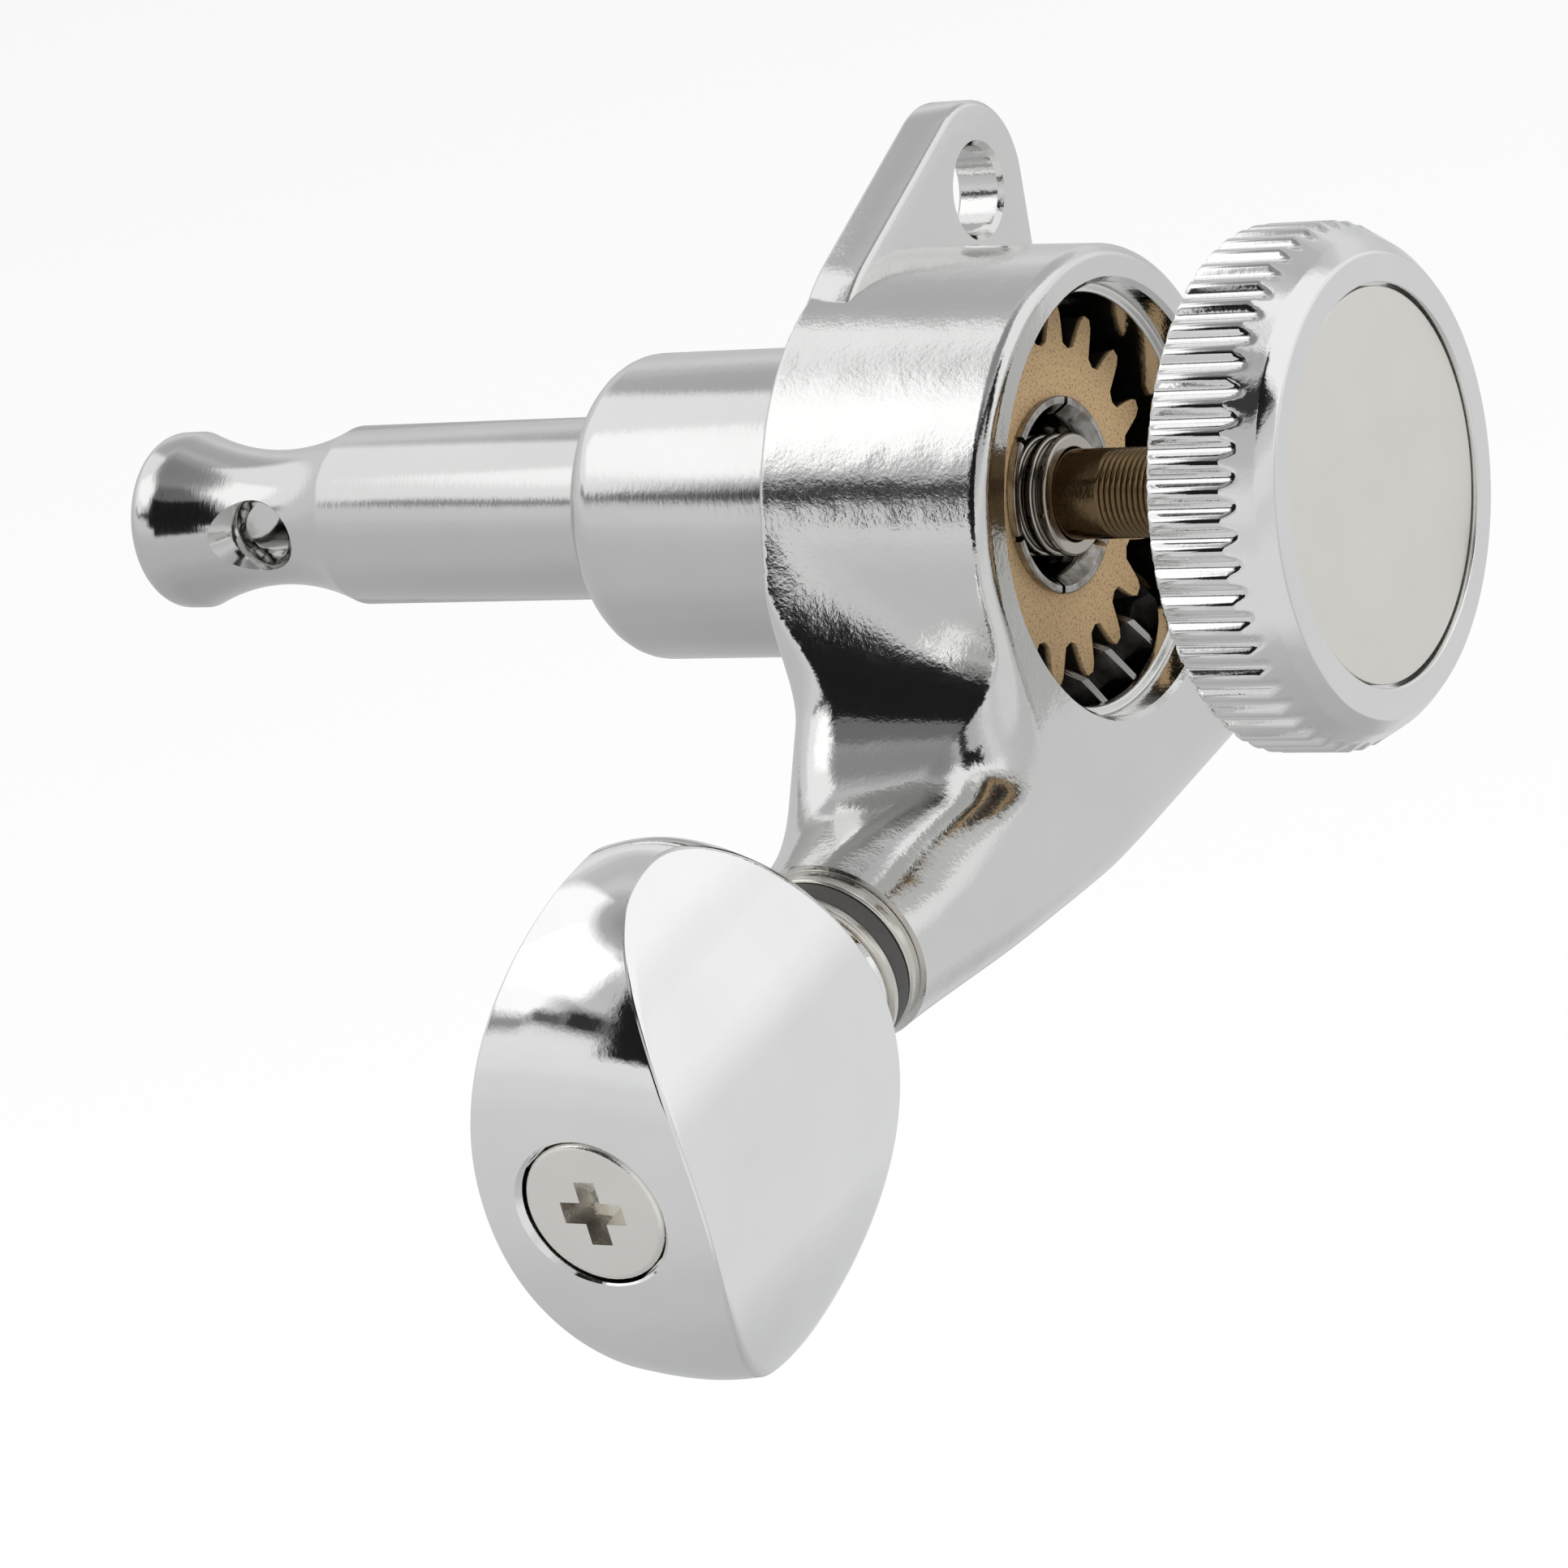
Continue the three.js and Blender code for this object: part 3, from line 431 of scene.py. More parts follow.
def refined(thing, near_edge, rounds):
    """Splits the faces round the crisp edges, where the voxels are too coarse, and re-fits them."""
    for _ in range(rounds):
        bm = bmesh.new()
        bm.from_mesh(thing.data)
        bmesh.ops.triangulate(bm, faces=bm.faces[:])
        place = np.array([v.co[:] for v in bm.verts])
        close = near_edge(place)
        edges = [e for e in bm.edges if close[e.verts[0].index] and close[e.verts[1].index]]
        bmesh.ops.subdivide_edges(bm, edges=edges, cuts=1, use_grid_fill=False)
        bmesh.ops.triangulate(bm, faces=bm.faces[:])
        bm.to_mesh(thing.data)
        bm.free()
        pulled_to_skin(thing, casting_distance, 3)
    return thing


def near_crisp_edge(place, seat_band=0.35, rim_band=0.6, crisp_until=12.0):
    """Which places lie beside the casting's crisp edges, at the seat and at the cup's rim."""
    plan, depth = plan_distance(place), -place[:, 2]
    above = place[:, 1] > lower_edge_span[0]
    at_seat = (depth < seat_band) & (plan > -seat_band)
    at_rim = (depth > cup_depth - rim_band) & (plan > -rim_band)
    return above & (place[:, 0] - place[:, 1] < crisp_until) & (at_seat | at_rim)


bm = bmesh.new()
bmesh.ops.create_cone(bm, cap_ends=True, segments=96, radius1=rim_radius, radius2=seat_radius,
                      depth=cup_depth, matrix=Matrix.Translation((0, -cup_drop, -cup_depth / 2)))
arm_past = 1.0
arm_length = mouth_reach + arm_past - barrel_end
arm_middle = (mouth_reach + arm_past + barrel_end) / 2
arm_place = Matrix.Translation((arm_middle, -axle_drop, -axle_depth)) @ Matrix.Rotation(
    math.pi / 2, 4, "Y")
bmesh.ops.create_cone(bm, cap_ends=True, segments=64, radius1=barrel_bottom, radius2=mouth_radius,
                      depth=arm_length, matrix=arm_place)
chord_middle, chord_angle, chord_length = Vector((11.05, -1.35, 0)), math.radians(-45.5), 8.4
filler_inward, filler_width, filler_shorter = 2.5, 4.7, 0.3
bmesh.ops.create_cube(
    bm, size=1.0, matrix=Matrix.Translation(chord_middle) @ Matrix.Rotation(chord_angle, 4, "Z")
    @ Matrix.Translation((0, -filler_inward, -cup_depth / 2))
    @ Matrix.Diagonal((chord_length, filler_width, cup_depth - filler_shorter, 1)))
casting = bench_object(bm, "casting")
coarse, fine = 0.34, 0.17
revoxeled(casting, coarse)
pulled_to_skin(casting, casting_distance, 8)
revoxeled(casting, fine)
pulled_to_skin(casting, casting_distance, 6)
refined(casting, near_crisp_edge, 1)

ear_middle = Vector((math.cos(ear_angle), math.sin(ear_angle), 0)) * ear_reach
ear_root = ear_middle * (ear_root_reach / ear_reach)
ear_root_radius = seat_radius - (seat_radius - ear_radius) * ear_root_reach / ear_reach
ear_half = Vector((0, 0, -ear_thickness / 2))
bm = bmesh.new()
for centre, radius in ((ear_root, ear_root_radius), (ear_middle, ear_radius)):
    bmesh.ops.create_cone(bm, cap_ends=True, segments=128, radius1=radius, radius2=radius,
                          depth=ear_thickness, matrix=Matrix.Translation(centre + ear_half))
bmesh.ops.delete(bm, geom=bm.edges[:], context="EDGES_FACES")
bmesh.ops.convex_hull(bm, input=bm.verts[:])
bmesh.ops.delete(bm, geom=[v for v in bm.verts if not v.link_faces], context="VERTS")
bmesh.ops.dissolve_limit(bm, angle_limit=0.001, verts=bm.verts[:], edges=bm.edges[:])
ear_rim = [e for e in bm.edges if e.calc_face_angle(0) > 1.0]
bmesh.ops.bevel(bm, geom=ear_rim, affect="EDGES", offset=ear_round, segments=4, profile=0.5,
                material=-1)
cut(casting, bm, operation="UNION")
mouth_end, sawn_off = bmesh.new(), 8.0
bmesh.ops.create_cube(mouth_end, size=sawn_off, matrix=Matrix.Translation(
    (mouth_reach + sawn_off / 2, -axle_drop, -axle_depth)))
cut(casting, mouth_end)

bore_mouth, bore_step, chamber_radius, floor_depth = 6.82, 7.1, 6.5, 2.3
bore_lead, post_hole_radius, past = 0.15, 3.06, 0.5
chamber = spun([
    (0, -cup_depth - past), (bore_mouth + bore_lead + past, -cup_depth - past),
    (bore_mouth + bore_lead, -cup_depth), (bore_mouth, -cup_depth + bore_lead),
    (bore_mouth, -bore_step, 0.1), (chamber_radius, -bore_step, 0.1),
    (chamber_radius, -floor_depth, 0.3), (0, -floor_depth),
], turn_to=Matrix.Translation((0, -cup_drop, 0)))
post_hole = spun([(0, -floor_depth - past), (post_hole_radius, -floor_depth - past),
                  (post_hole_radius, past), (0, past)])
spigot_radius, spigot_depth = 4.53, 1.0
spigot_hole = spun([(0, -spigot_depth), (spigot_radius, -spigot_depth), (spigot_radius, past),
                    (0, past)])
worm_bore_radius, worm_bore_end, mouth_lead = 2.65, -5.0, 0.12
bush_pocket_radius, bush_pocket_end = 2.33, -6.77
worm_bore = spun([
    (0, bush_pocket_end), (bush_pocket_radius, bush_pocket_end),
    (bush_pocket_radius, worm_bore_end), (worm_bore_radius, worm_bore_end),
    (worm_bore_radius, mouth_reach - mouth_lead), (worm_bore_radius + mouth_lead, mouth_reach),
    (worm_bore_radius + mouth_lead, mouth_reach + past), (0, mouth_reach + past),
], turn_to=on_axle)
ear_hole_radius, ear_hole_lead = 1.45, 0.16
ear_hole_mouth = ear_hole_radius + ear_hole_lead
screw_hole = spun([
    (0, -ear_thickness - past), (ear_hole_mouth, -ear_thickness - past),
    (ear_hole_mouth, -ear_thickness), (ear_hole_radius, -ear_thickness + ear_hole_lead),
    (ear_hole_radius, -ear_hole_lead), (ear_hole_mouth, 0), (ear_hole_mouth, past), (0, past),
], steps=64, turn_to=Matrix.Translation(ear_middle))
scoop_radius, scoop_end_radius, scoop_depth = 2.95, 2.1, 2.8
scoop = spun([
    (0, -ear_thickness - scoop_depth), (scoop_end_radius, -ear_thickness - scoop_depth, 1.0),
    (scoop_radius, -ear_thickness - scoop_depth / 2, 0.8), (scoop_radius, -ear_thickness),
    (0, -ear_thickness),
], steps=64, turn_to=Matrix.Translation(ear_middle))
cut(casting, chamber, post_hole, spigot_hole, worm_bore, screw_hole, scoop)


def skinned(name, **values):
    """A material whose skin has these values, with its Object coordinates in millimetres."""
    made, nodes, links = shader(name)
    out = nodes.new("ShaderNodeOutputMaterial")
    skin = added(nodes, "BsdfPrincipled", **values)
    links.new(skin.outputs[0], out.inputs["Surface"])
    where = nodes.new("ShaderNodeTexCoord")
    to_bench = added(nodes, "Mapping", Scale=(1 / millimetre,) * 3)
    links.new(where.outputs["Object"], to_bench.inputs["Vector"])
    return made, nodes, links, skin, to_bench


def plated(name, tint, roughness, grain_size, grain_depth, grain_stretch=(1, 1, 1),
           ripple_depth=0.0, ripple_size=1.6, grey_past=None):
    """Bright plated metal: a tint that drifts a little, fine polishing grain and a soft ripple.
    Further back than the given depth it is mixed at least halfway towards dark grey, in blotches."""
    drift_scale, darker, lighter = 0.35, 0.955, 1.03
    least_dull, most_dull = 0.8, 1.25
    blotch_scale, blotch_low, blotch_high, least_blotch_share = 2.2, 0.38, 0.62, 0.55
    blotch_grey = (0.24, 0.215, 0.19, 1.0)
    made, nodes, links, skin, to_bench = skinned(name, Metallic=1.0)

    drift = added(nodes, "TexNoise", Scale=drift_scale, Detail=3.0)
    links.new(to_bench.outputs[0], drift.inputs["Vector"])
    shade = nodes.new("ShaderNodeMixRGB")
    shade.inputs[1].default_value = tuple(darker * c for c in tint) + (1.0,)
    shade.inputs[2].default_value = tuple(min(lighter * c, 1.0) for c in tint) + (1.0,)
    links.new(drift.outputs["Fac"], shade.inputs[0])
    tinted = shade.outputs[0]
    # Behind the given depth the tint is mixed at least halfway towards dark grey, in noise
    # blotches.
    if grey_past:
        blotch = added(nodes, "TexNoise", Scale=blotch_scale, Detail=4.0)
        links.new(to_bench.outputs[0], blotch.inputs["Vector"])
        blotched = added(nodes, "MapRange", From_Min=blotch_low, From_Max=blotch_high,
                         To_Min=least_blotch_share)
        links.new(blotch.outputs["Fac"], blotched.inputs["Value"])
        place = nodes.new("ShaderNodeSeparateXYZ")
        links.new(to_bench.outputs[0], place.inputs[0])
        behind = nodes.new("ShaderNodeMath")
        behind.operation = "GREATER_THAN"
        behind.inputs[1].default_value = grey_past
        links.new(place.outputs["X"], behind.inputs[0])
        share = nodes.new("ShaderNodeMath")
        share.operation = "MULTIPLY"
        links.new(blotched.outputs[0], share.inputs[0])
        links.new(behind.outputs[0], share.inputs[1])
        greyed = nodes.new("ShaderNodeMixRGB")
        greyed.inputs[2].default_value = blotch_grey
        links.new(share.outputs[0], greyed.inputs[0])
        links.new(tinted, greyed.inputs[1])
        tinted = greyed.outputs[0]
    links.new(tinted, skin.inputs["Base Color"])

    stretch = added(nodes, "Mapping", Scale=tuple(s / grain_size for s in grain_stretch))
    links.new(to_bench.outputs[0], stretch.inputs["Vector"])
    grain = added(nodes, "TexNoise", Scale=1.0, Detail=2.0, Roughness=0.6)
    links.new(stretch.outputs[0], grain.inputs["Vector"])
    dull = added(nodes, "MapRange", From_Min=0.25, From_Max=0.75,
                 To_Min=roughness * least_dull, To_Max=roughness * most_dull)
    links.new(grain.outputs["Fac"], dull.inputs["Value"])
    links.new(dull.outputs[0], skin.inputs["Roughness"])

    fine_bump = added(nodes, "Bump", Strength=1.0, Distance=grain_depth * millimetre)
    links.new(grain.outputs["Fac"], fine_bump.inputs["Height"])
    if ripple_depth:
        ripple = added(nodes, "TexNoise", Scale=1 / ripple_size, Detail=1.0)
        links.new(to_bench.outputs[0], ripple.inputs["Vector"])
        wide_bump = added(nodes, "Bump", Strength=1.0, Distance=ripple_depth * millimetre)
        links.new(ripple.outputs["Fac"], wide_bump.inputs["Height"])
        links.new(wide_bump.outputs[0], fine_bump.inputs["Normal"])
    links.new(fine_bump.outputs[0], skin.inputs["Normal"])
    return made


casting_chrome = plated("casting_chrome", (0.79, 0.788, 0.773), 0.10, 0.16, 0.006,
                        ripple_depth=0.02, ripple_size=1.2)
finished(casting, casting_chrome, "casing", "housing", crease=32)


def true_normals(thing, distance, touching=0.004, same_way=0.94):
    """Shades corners that lie on the skin by the skin's own slope, so that it mirrors evenly."""
    mesh = thing.data
    place = np.empty(len(mesh.vertices) * 3)
    mesh.vertices.foreach_get("co", place)
    place = place.reshape(-1, 3)
    turn = np.array(stand_up.to_3x3()) / millimetre
    bench = place @ turn / millimetre
    slope = skin_slope(bench, distance)
    slope /= np.maximum(np.linalg.norm(slope, axis=1), 1e-6)[:, None]
    on_skin = np.abs(distance(bench)) < touching
    corner = np.empty(len(mesh.loops), dtype=np.int64)
    mesh.loops.foreach_get("vertex_index", corner)
    normal = np.empty(len(mesh.loops) * 3)
    mesh.corner_normals.foreach_get("vector", normal)
    normal = normal.reshape(-1, 3)
    skin_normal = (slope @ turn.T)[corner]
    agrees = on_skin[corner] & ((skin_normal * normal).sum(axis=1) > same_way)
    normal[agrees] = skin_normal[agrees]
    mesh.normals_split_custom_set(normal.tolist())


true_normals(casting, casting_distance)


# ---- Front sleeve -------------------------------------------------------------------------------
# A turned brass sleeve with a round nose fills the headstock hole. It is pressed into the casting
# from the front and plated with it, so it looks the same but shows its turning.

sleeve_radius, sleeve_length, sleeve_nose = 4.99, 9.75, 1.2
sleeve_spigot_radius, sleeve_spigot = 4.5, -0.98
bush_room_radius, bush_room_end, clip_room_radius, clip_room_end = 3.73, 9.0, 3.9, 0.6
sleeve = bench_object(spun([
    (sleeve_spigot_radius, sleeve_spigot), (sleeve_spigot_radius, 0), (sleeve_radius, 0, 0.06),
    (sleeve_radius, sleeve_length, sleeve_nose), (post_hole_radius, sleeve_length, 0.12),
    (post_hole_radius, bush_room_end), (bush_room_radius, bush_room_end),
    (bush_room_radius, clip_room_end), (clip_room_radius, clip_room_end),
    (clip_room_radius, sleeve_spigot),
], steps=128), "sleeve")
sleeve_chrome = plated("sleeve_chrome", (0.73, 0.728, 0.715), 0.12, 0.14, 0.005,
                       grain_stretch=(1.0, 0.35, 0.35), ripple_depth=0.008)
finished(sleeve, sleeve_chrome, "casing", "front_sleeve")


# ---- String post --------------------------------------------------------------------------------
# The post is turned from brass and plated: a waist for the windings, a cross hole with sunk mouths
# for the string, and behind the gear a rolled lip with six slots that holds the gear on.

post_radius, post_reach, post_tip_round = 3.0, 28.85, 0.6
waist_centre, waist_half, waist_radius = 24.2, 3.45, 2.28
post_rear, lip_radius, lip_thickness, gear_seat_radius = -6.25, 3.12, 0.3, 2.9
gear_front = -2.73
clip_groove_radius, clip_low, clip_high = 2.6, -0.82, -0.38
pocket_mouth_radius, pocket_mouth_end, pocket_radius, pocket_end_radius = 2.88, -5.75, 2.5, 2.1
pocket_end, insert_room_radius, insert_room_end = -3.6, 1.96, 2.0
stem_room_radius, stem_room_end, pin_bore_radius, pin_bore_end = 1.55, 6.5, 1.2, 25.2
waist_steps = 28
waist = []
for step in range(waist_steps + 1):
    along = -1 + 2 * step / waist_steps
    waist.append((waist_radius + (post_radius - waist_radius) * along * along,
                  waist_centre + waist_half * along))
post = bench_object(spun([
    (lip_radius, post_rear, 0.08), (lip_radius, post_rear + lip_thickness, 0.08),
    (gear_seat_radius, post_rear + lip_thickness), (gear_seat_radius, gear_front),
    (post_radius, gear_front), (post_radius, clip_low), (clip_groove_radius, clip_low),
    (clip_groove_radius, clip_high), (post_radius, clip_high), *waist,
    (post_radius, post_reach, post_tip_round), (0, post_reach),
][::-1] + [
    (pocket_mouth_radius, post_rear, 0.04), (pocket_radius, pocket_mouth_end, 0.1),
    (pocket_end_radius, pocket_end), (insert_room_radius, pocket_end),
    (insert_room_radius, insert_room_end), (stem_room_radius, insert_room_end),
    (stem_room_radius, stem_room_end), (pin_bore_radius, stem_room_end),
    (pin_bore_radius, pin_bore_end), (0, pin_bore_end),
], steps=128), "post")
string_height, string_radius, string_turn = 24.1, 0.95, math.radians(8)
sink_radius, sink_start, hole_half = 2.7, 1.6, 3.5
across_post = (Matrix.Translation((0, 0, string_height)) @ Matrix.Rotation(string_turn, 4, "Z")
               @ Matrix.Rotation(math.pi / 2, 4, "Y"))
string_hole = spun([
    (0, -hole_half), (sink_radius, -hole_half), (string_radius, -sink_start, 0.5),
    (string_radius, sink_start, 0.5), (sink_radius, hole_half), (0, hole_half),
], steps=64, turn_to=across_post)
cut(post, string_hole)
slot_width, slot_depth, slot_count, slot_reach, slot_inset = 0.2, 1.5, 6, 1.3, 0.4
for turn in range(slot_count):
    slot = bmesh.new()
    around = Matrix.Rotation(math.tau * turn / slot_count, 4, "Z")
    bmesh.ops.create_cube(
        slot, size=1.0, matrix=around @ Matrix.Translation((lip_radius - slot_inset, 0, post_rear))
        @ Matrix.Diagonal((slot_reach, slot_width, 2 * slot_depth, 1)))
    cut(post, slot)
post_chrome = plated("post_chrome", (0.70, 0.698, 0.685), 0.11, 0.12, 0.004,
                     grain_stretch=(1.0, 0.3, 0.3), ripple_depth=0.006, grey_past=-gear_front)
finished(post, post_chrome, "post", "string_post")


# ---- Post bearing -------------------------------------------------------------------------------
# Inside the sleeve a sintered bronze bush guides the post, a snap ring holds it in, and a hard
# steel washer takes the gear's thrust. None shows from outside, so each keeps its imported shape.

def sintered(name, tint, pit_size, pit_depth, roughness, dark_share, face_depth=None):
    """Pressed metal powder: a warm tint with darker pores and a fine rough skin. Deeper than the
    face depth the colour fades to near black, as painted shade."""
    pore_at, plain_at, light_at, lighter = 0.34, 0.47, 0.72, 1.15
    full_shade_offset, no_shade_offset, painted_shade_colour = 0.22, 0.04, (0.012, 0.009, 0.006, 1.0)
    made, nodes, links, skin, to_bench = skinned(name, Metallic=0.35, Roughness=roughness)
    pores = added(nodes, "TexNoise", Scale=1 / pit_size, Detail=4.0, Roughness=0.65)
    links.new(to_bench.outputs[0], pores.inputs["Vector"])
    tone = nodes.new("ShaderNodeValToRGB")
    tone.color_ramp.elements[0].position = pore_at
    tone.color_ramp.elements[0].color = tuple(dark_share * c for c in tint) + (1.0,)
    tone.color_ramp.elements[1].position = plain_at
    tone.color_ramp.elements[1].color = tuple(tint) + (1.0,)
    light_stop = tone.color_ramp.elements.new(light_at)
    light_stop.color = tuple(min(lighter * c, 1.0) for c in tint) + (1.0,)
    links.new(pores.outputs["Fac"], tone.inputs[0])
    tinted = tone.outputs[0]
    # Painted shade: deeper than the face depth the tint fades to near black.
    if face_depth:
        place = nodes.new("ShaderNodeSeparateXYZ")
        links.new(to_bench.outputs[0], place.inputs[0])
        unshaded_share = added(nodes, "MapRange", From_Min=face_depth - full_shade_offset,
                      From_Max=face_depth - no_shade_offset)
        links.new(place.outputs["X"], unshaded_share.inputs["Value"])
        shade_painted = nodes.new("ShaderNodeMixRGB")
        shade_painted.inputs[1].default_value = painted_shade_colour
        links.new(unshaded_share.outputs[0], shade_painted.inputs[0])
        links.new(tinted, shade_painted.inputs[2])
        tinted = shade_painted.outputs[0]
    links.new(tinted, skin.inputs["Base Color"])
    bump = added(nodes, "Bump", Strength=1.0, Distance=pit_depth * millimetre)
    links.new(pores.outputs["Fac"], bump.inputs["Height"])
    links.new(bump.outputs[0], skin.inputs["Normal"])
    return made


def dress(node, material):
    """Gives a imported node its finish."""
    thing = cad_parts[node]
    thing.data.materials.clear()
    thing.data.materials.append(material)


bush_bronze = sintered("bush_bronze", (0.42, 0.28, 0.14), 0.12, 0.01, 0.5, 0.5)
hidden_steel = plated("ground_steel", (0.50, 0.49, 0.47), 0.28, 0.2, 0.006)
dress("post_bush", bush_bronze)
dress("worm_inner_bush", bush_bronze)
dress("gear_thrust_washer", hidden_steel)
dress("post_clip", hidden_steel)


# ---- Gear ---------------------------------------------------------------------------------------
# The eighteen-tooth gear is pressed and sintered bronze with a dull, speckled tan skin, broached
# round so that the post's lip can be rolled over it.

# The gear's teeth and everything deeper than its rear face get painted shade, near black.
gear_rear = 5.95
gear_bronze = sintered("gear_bronze", (0.66, 0.46, 0.25), 0.09, 0.015, 0.6, 0.4,
                       face_depth=gear_rear)
dress("worm_wheel", gear_bronze)


# ---- Lock ferrule and pin -----------------------------------------------------------------------
# A nickel plated ferrule with turned ridges is screwed into the back of the post and carries the
# lock's thread. The hardened pin inside the post is pushed against the string.

ferrule_radius, ferrule_bore, ferrule_rear, ferrule_front = 1.93, 1.49, -6.65, 1.98
ridge_pitch, ridge_groove, groove_depth, ridge_count, ridge_end_round = 0.5, 0.14, 0.16, 4, 0.12
ferrule_outline = []
for ridge in range(ridge_count):
    low = ferrule_rear + ridge * ridge_pitch
    high = low + ridge_pitch - ridge_groove
    ferrule_outline += [
        (ferrule_radius, low, ridge_end_round), (ferrule_radius, high, ridge_end_round),
        (ferrule_radius - groove_depth, high), (ferrule_radius - groove_depth, low + ridge_pitch)]
ferrule_outline += [(ferrule_radius, ferrule_rear + ridge_count * ridge_pitch),
                    (ferrule_radius, ferrule_front), (ferrule_bore, ferrule_front),
                    (ferrule_bore, ferrule_rear, 0.06)]
ferrule = bench_object(spun(ferrule_outline, steps=96), "ferrule")
ferrule_nickel = plated("ferrule_nickel", (0.50, 0.465, 0.42), 0.16, 0.2, 0.004)
finished(ferrule, ferrule_nickel, "post", "post_insert")
dress("locking_pin", hidden_steel)


# ---- Lock stem ----------------------------------------------------------------------------------
# The stem is brass with a fine rolled thread from behind the ferrule to the thumb wheel, and a
# plain length where it enters the ferrule. The wheel is pressed on its spigot and held by a nut.

stem_radius, stem_front, stem_shoulder = 1.43, 4.4, -13.63
spigot_stem_radius, spigot_stem_end = 1.1, -16.9
thread_start, thread_end, thread_pitch, thread_depth = -8.2, -13.4, 0.2, 0.08
crest_start, crest_end, thread_runout = 0.4, 0.6, 0.1
stem_outline = [(0, spigot_stem_end), (spigot_stem_radius, spigot_stem_end, 0.1),
                (spigot_stem_radius, stem_shoulder), (stem_radius, stem_shoulder)]
thread_turns = round((thread_start - thread_end) / thread_pitch)
for turn in range(thread_turns):
    foot = thread_end + turn * thread_pitch
    stem_outline += [(stem_radius - thread_depth, foot),
                     (stem_radius, foot + thread_pitch * crest_start),
                     (stem_radius, foot + thread_pitch * crest_end)]
stem_outline += [(stem_radius - thread_depth, thread_start),
                 (stem_radius, thread_start + thread_runout),
                 (stem_radius, stem_front, 0.2), (0, stem_front)]
stem = bench_object(spun(stem_outline, steps=64), "stem")
stem_brass = plated("stem_brass", (0.17, 0.115, 0.06), 0.17, 0.15, 0.006)
finished(stem, stem_brass, "lock", "lock_stem", crease=50)
dress("wheel_nut", hidden_steel)


# ---- Thumb wheel --------------------------------------------------------------------------------
# A thick plated wheel with fifty-seven cut flutes round its edge and a smooth bevel towards its
# face, recessed for the disc.

wheel_back, wheel_face, wheel_radius = -13.65, -17.59, 8.15
wheel_back_bevel, wheel_face_radius, wheel_bevel_end = 0.3, 7.13, -16.15
wheel_mid_radius, wheel_mid = 7.56, -17.2
flute_count, flute_depth, flute_facets = 57, 0.26, 10
recess_radius, recess_floor, nut_pocket_radius, nut_seat = 6.2, -16.99, 2.6, -15.9
wheel_bore, back_land, bevel_rows = 1.13, 1.5, 10
bevel_outline = []
for row in range(1, bevel_rows):
    share = row / bevel_rows
    bevel_outline.append((wheel_radius + (wheel_mid_radius - wheel_radius) * share,
                          wheel_bevel_end + (wheel_mid - wheel_bevel_end) * share))
thumb = bench_object(spun([
    (wheel_bore, wheel_back), (wheel_radius - back_land, wheel_back),
    (wheel_radius, wheel_back, wheel_back_bevel), (wheel_radius, wheel_bevel_end), *bevel_outline,
    (wheel_mid_radius, wheel_mid, 0.5), (wheel_face_radius, wheel_face, 0.12),
    (recess_radius, wheel_face, 0.08), (recess_radius, recess_floor),
    (nut_pocket_radius, recess_floor), (nut_pocket_radius, nut_seat), (wheel_bore, nut_seat),
], steps=flute_count * flute_facets), "thumb")


def fluted(thing, steepness=1.5, crest=0.25, face_land=0.5):
    """Presses the flutes into the wheel's edge; each runs out where it meets the face bevel."""
    count = len(thing.data.vertices)
    flat = np.empty(count * 3)
    thing.data.vertices.foreach_get("co", flat)
    place = flat.reshape(-1, 3)
    radius = np.hypot(place[:, 0], place[:, 1])
    angle = np.arctan2(place[:, 1], place[:, 0])
    wave = 0.5 - 0.5 * np.cos(angle * flute_count)
    floor_radius = wheel_radius - flute_depth * np.clip(steepness * wave - crest, 0, 1)
    outer = place[:, 2] < wheel_back + 0.01
    target = np.where((radius > recess_radius + face_land) & outer,
                      np.minimum(radius, floor_radius), radius)
    place[:, :2] *= (target / np.maximum(radius, 1e-6))[:, None]
    thing.data.vertices.foreach_set("co", place.ravel())
    thing.data.update()


fluted(thumb)
thumb_chrome = plated("thumb_chrome", (0.88, 0.88, 0.87), 0.07, 0.2, 0.003, ripple_depth=0.01)
finished(thumb, thumb_chrome, "lock", "thumb_wheel", crease=38)


# ---- Face disc ----------------------------------------------------------------------------------
# A thin disc of satin metal is glued in the wheel's recess, a hair below its rim.

disc_radius, disc_front, disc_thickness = 6.1, -17.01, 0.42
disc = bench_object(spun([
    (0, disc_front - disc_thickness), (disc_radius, disc_front - disc_thickness, 0.06),
    (disc_radius, disc_front), (0, disc_front),
], steps=160), "disc")
disc_satin = plated("disc_satin", (0.90, 0.87, 0.825), 0.42, 0.08, 0.003)
finished(disc, disc_satin, "lock", "face_disc")


# ---- Worm ---------------------------------------------------------------------------------------
# The steel worm and its shaft run through the arm, with a nylon washer taking its thrust. Through
# the cup's mouth only its thread shows, behind the gear.

worm_steel = plated("worm_steel", (0.34, 0.33, 0.32), 0.22, 0.2, 0.004)
dress("worm_shaft", worm_steel)


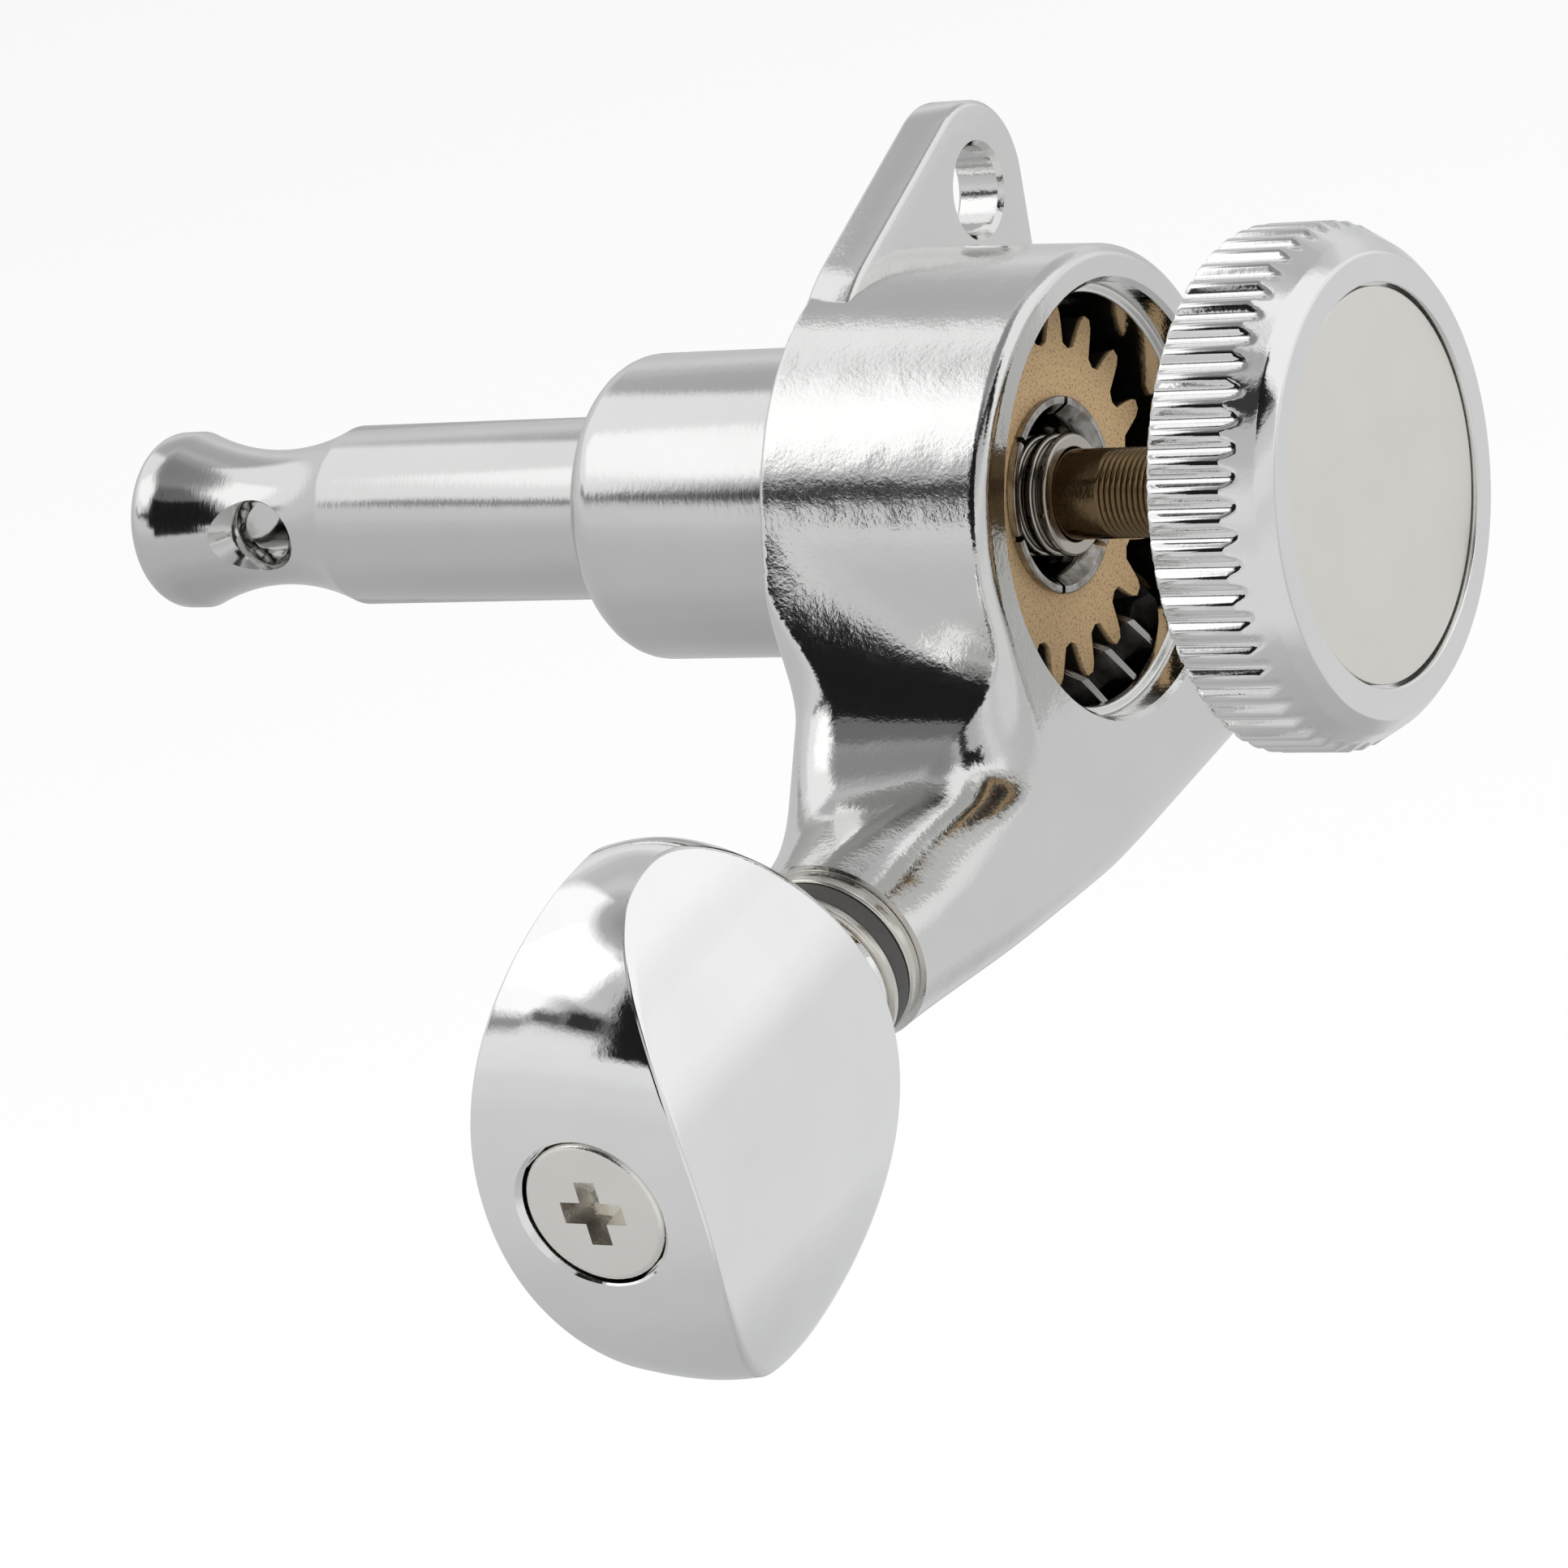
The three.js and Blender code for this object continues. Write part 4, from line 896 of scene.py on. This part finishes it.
def moulded(name, tint, roughness, grain_size, grain_depth):
    """Moulded plastic with a faint grain and small changes of gloss."""
    darker, lighter, least_dull, most_dull = 0.8, 1.2, 0.85, 1.15
    made, nodes, links, skin, to_bench = skinned(name)
    grain = added(nodes, "TexNoise", Scale=1 / grain_size, Detail=3.0)
    links.new(to_bench.outputs[0], grain.inputs["Vector"])
    shade = nodes.new("ShaderNodeMixRGB")
    shade.inputs[1].default_value = tuple(darker * c for c in tint) + (1.0,)
    shade.inputs[2].default_value = tuple(lighter * c for c in tint) + (1.0,)
    links.new(grain.outputs["Fac"], shade.inputs[0])
    links.new(shade.outputs[0], skin.inputs["Base Color"])
    gloss = added(nodes, "MapRange", To_Min=roughness * least_dull, To_Max=roughness * most_dull)
    links.new(grain.outputs["Fac"], gloss.inputs["Value"])
    links.new(gloss.outputs[0], skin.inputs["Roughness"])
    bump = added(nodes, "Bump", Distance=grain_depth * millimetre)
    links.new(grain.outputs["Fac"], bump.inputs["Height"])
    links.new(bump.outputs[0], skin.inputs["Normal"])
    return made


nylon = moulded("black_nylon", (0.045, 0.042, 0.040), 0.5, 0.15, 0.01)
dress("worm_thrust_washer", nylon)


# ---- Mouth bush and washers ---------------------------------------------------------------------
# A nickel plated bush closes the arm's mouth with a thin flange. A black friction washer and a
# steel washer lie between it and the button, so that the button's screw sets how stiffly it turns.

journal_room, bush_radius, bush_inner_end = 1.56, 2.6, 13.0
flange_radius, flange_start, flange_end = 2.85, 16.02, 16.58
mouth_bush = bench_object(spun([
    (bush_radius, bush_inner_end), (bush_radius, flange_start), (flange_radius, flange_start, 0.05),
    (flange_radius, flange_end, 0.1), (journal_room, flange_end), (journal_room, bush_inner_end),
], turn_to=on_axle), "mouth_bush")
washer_nickel = plated("washer_nickel", (0.72, 0.69, 0.64), 0.16, 0.15, 0.005)
finished(mouth_bush, washer_nickel, "casing", "worm_mouth_bush")
washer_hole = 1.53
friction_radius, friction_start, friction_end, friction_round = 2.8, 16.6, 17.38, 0.12
friction = bench_object(spun([
    (friction_radius, friction_start, friction_round),
    (friction_radius, friction_end, friction_round),
    (washer_hole, friction_end), (washer_hole, friction_start),
], turn_to=on_axle), "friction")
finished(friction, nylon, "worm", "friction_washer")
thin_radius, thin_start, thin_end, thin_round = 2.85, 17.4, 17.74, 0.08
thin_washer = bench_object(spun([
    (thin_radius, thin_start, thin_round), (thin_radius, thin_end, thin_round),
    (washer_hole, thin_end), (washer_hole, thin_start),
], turn_to=on_axle), "thin_washer")
finished(thin_washer, washer_nickel, "worm", "steel_washer")


# ---- Button -------------------------------------------------------------------------------------
# The button is cast zinc, polished and chrome plated: a shield from behind and a lens from its
# end, with a crowned rim that meets the two faces in crisp edges, and a short neck.

button_start, button_end = 17.76, 31.19
half_height, outer_reach, inner_reach, crown, inner_crown = 8.25, 6.05, 5.5, 0.16, 0.9
half_thickness, edge_half_thickness = 3.82, 1.22
outer_square, inner_square = 2.19, 1.88
button_centre = button_end - crown - outer_reach
crease_round = 0.1
neck_radius, neck_length = 2.72, 3.0
bm = bmesh.new()
bmesh.ops.create_cube(bm, size=2.0)
bmesh.ops.subdivide_edges(bm, edges=bm.edges[:], cuts=47,
                          use_grid_fill=True)
for vertex in bm.verts:
    u, v, w = vertex.co
    rim = max(abs(u), abs(v))
    if rim < 1e-6:
        x, y, bulge = 0.0, 0.0, 0.0
    else:
        turn = math.atan2(math.tan(v / rim * math.pi / 4), math.tan(u / rim * math.pi / 4))
        bulge = 1 - w * w if rim > 1 - 1e-6 else 0.0
        side = outer_reach + crown * bulge if u > 0 else inner_reach + inner_crown * bulge
        square = outer_square if u > 0 else inner_square
        height = half_height + crown * bulge
        c, s = math.cos(turn), math.sin(turn)
        out_to = rim / ((abs(c) / side) ** square + (abs(s) / height) ** square) ** (1 / square)
        x, y = out_to * c, out_to * s
    rise = min(abs(y) / half_height, 1)
    thick = half_thickness + (edge_half_thickness - half_thickness) * rise * rise
    vertex.co = (button_centre + x, y - axle_drop, w * thick - axle_depth)
bm.normal_update()
sharp = [e for e in bm.edges if len(e.link_faces) == 2 and e.calc_face_angle() > math.radians(30)]
bmesh.ops.bevel(bm, geom=sharp, affect="EDGES", offset=crease_round, segments=3, profile=0.5,
                material=-1)
bmesh.ops.recalc_face_normals(bm, faces=bm.faces[:])
button = bench_object(bm, "button_shell")
cut(button, spun([(0, button_start), (neck_radius, button_start, 0.15),
                  (neck_radius, button_start + neck_length), (0, button_start + neck_length)],
                 turn_to=on_axle), operation="UNION")
recess_edge, head_recess_radius, head_recess_floor = 0.12, 2.37, 29.52
shank_room, drive_room, drive_end = 1.01, 1.53, 27.39
cut(button, spun([
    (0, button_start - past), (drive_room, button_start - past), (drive_room, drive_end),
    (shank_room, drive_end), (shank_room, head_recess_floor),
    (head_recess_radius, head_recess_floor), (head_recess_radius, button_end - 2 * recess_edge),
    (head_recess_radius + 3 * recess_edge, button_end + recess_edge),
    (0, button_end + recess_edge),
], turn_to=on_axle))
button_chrome = plated("button_chrome", (0.96, 0.96, 0.95), 0.05, 0.3, 0.002, ripple_depth=0.012,
                       ripple_size=2.5)
finished(button, button_chrome, "worm", "button", crease=35)


# ---- Button screw -------------------------------------------------------------------------------
# A nickel plated machine screw with a flat head and a cross recess holds the button on its shaft.

head_radius, head_top, head_low, head_round = 2.3, 30.99, 29.54, 0.22
shank_radius, shank_end = 0.95, 23.34
screw = bench_object(spun([
    (0, shank_end), (shank_radius, shank_end, 0.2), (shank_radius, head_low),
    (head_radius, head_low), (head_radius, head_top, head_round), (0, head_top),
], turn_to=on_axle), "screw")
cross_length, cross_width, cross_depth, length_taper, width_taper = 2.7, 0.78, 1.1, 0.55, 0.8
for turn in range(2):
    arm = bmesh.new()
    bmesh.ops.create_cube(arm, size=1.0, matrix=Matrix.Diagonal(
        (cross_length, cross_width, 2 * cross_depth, 1)))
    for vertex in arm.verts:
        if vertex.co.z < 0:
            vertex.co.x *= length_taper
            vertex.co.y *= width_taper
    bmesh.ops.transform(arm, verts=arm.verts[:], matrix=on_axle @ Matrix.Translation(
        (0, 0, head_top)) @ Matrix.Rotation(math.pi / 2 * turn, 4, "Z"))
    cut(screw, arm)
screw_nickel = plated("screw_nickel", (0.93, 0.905, 0.86), 0.2, 0.1, 0.008)
finished(screw, screw_nickel, "worm", "button_screw")
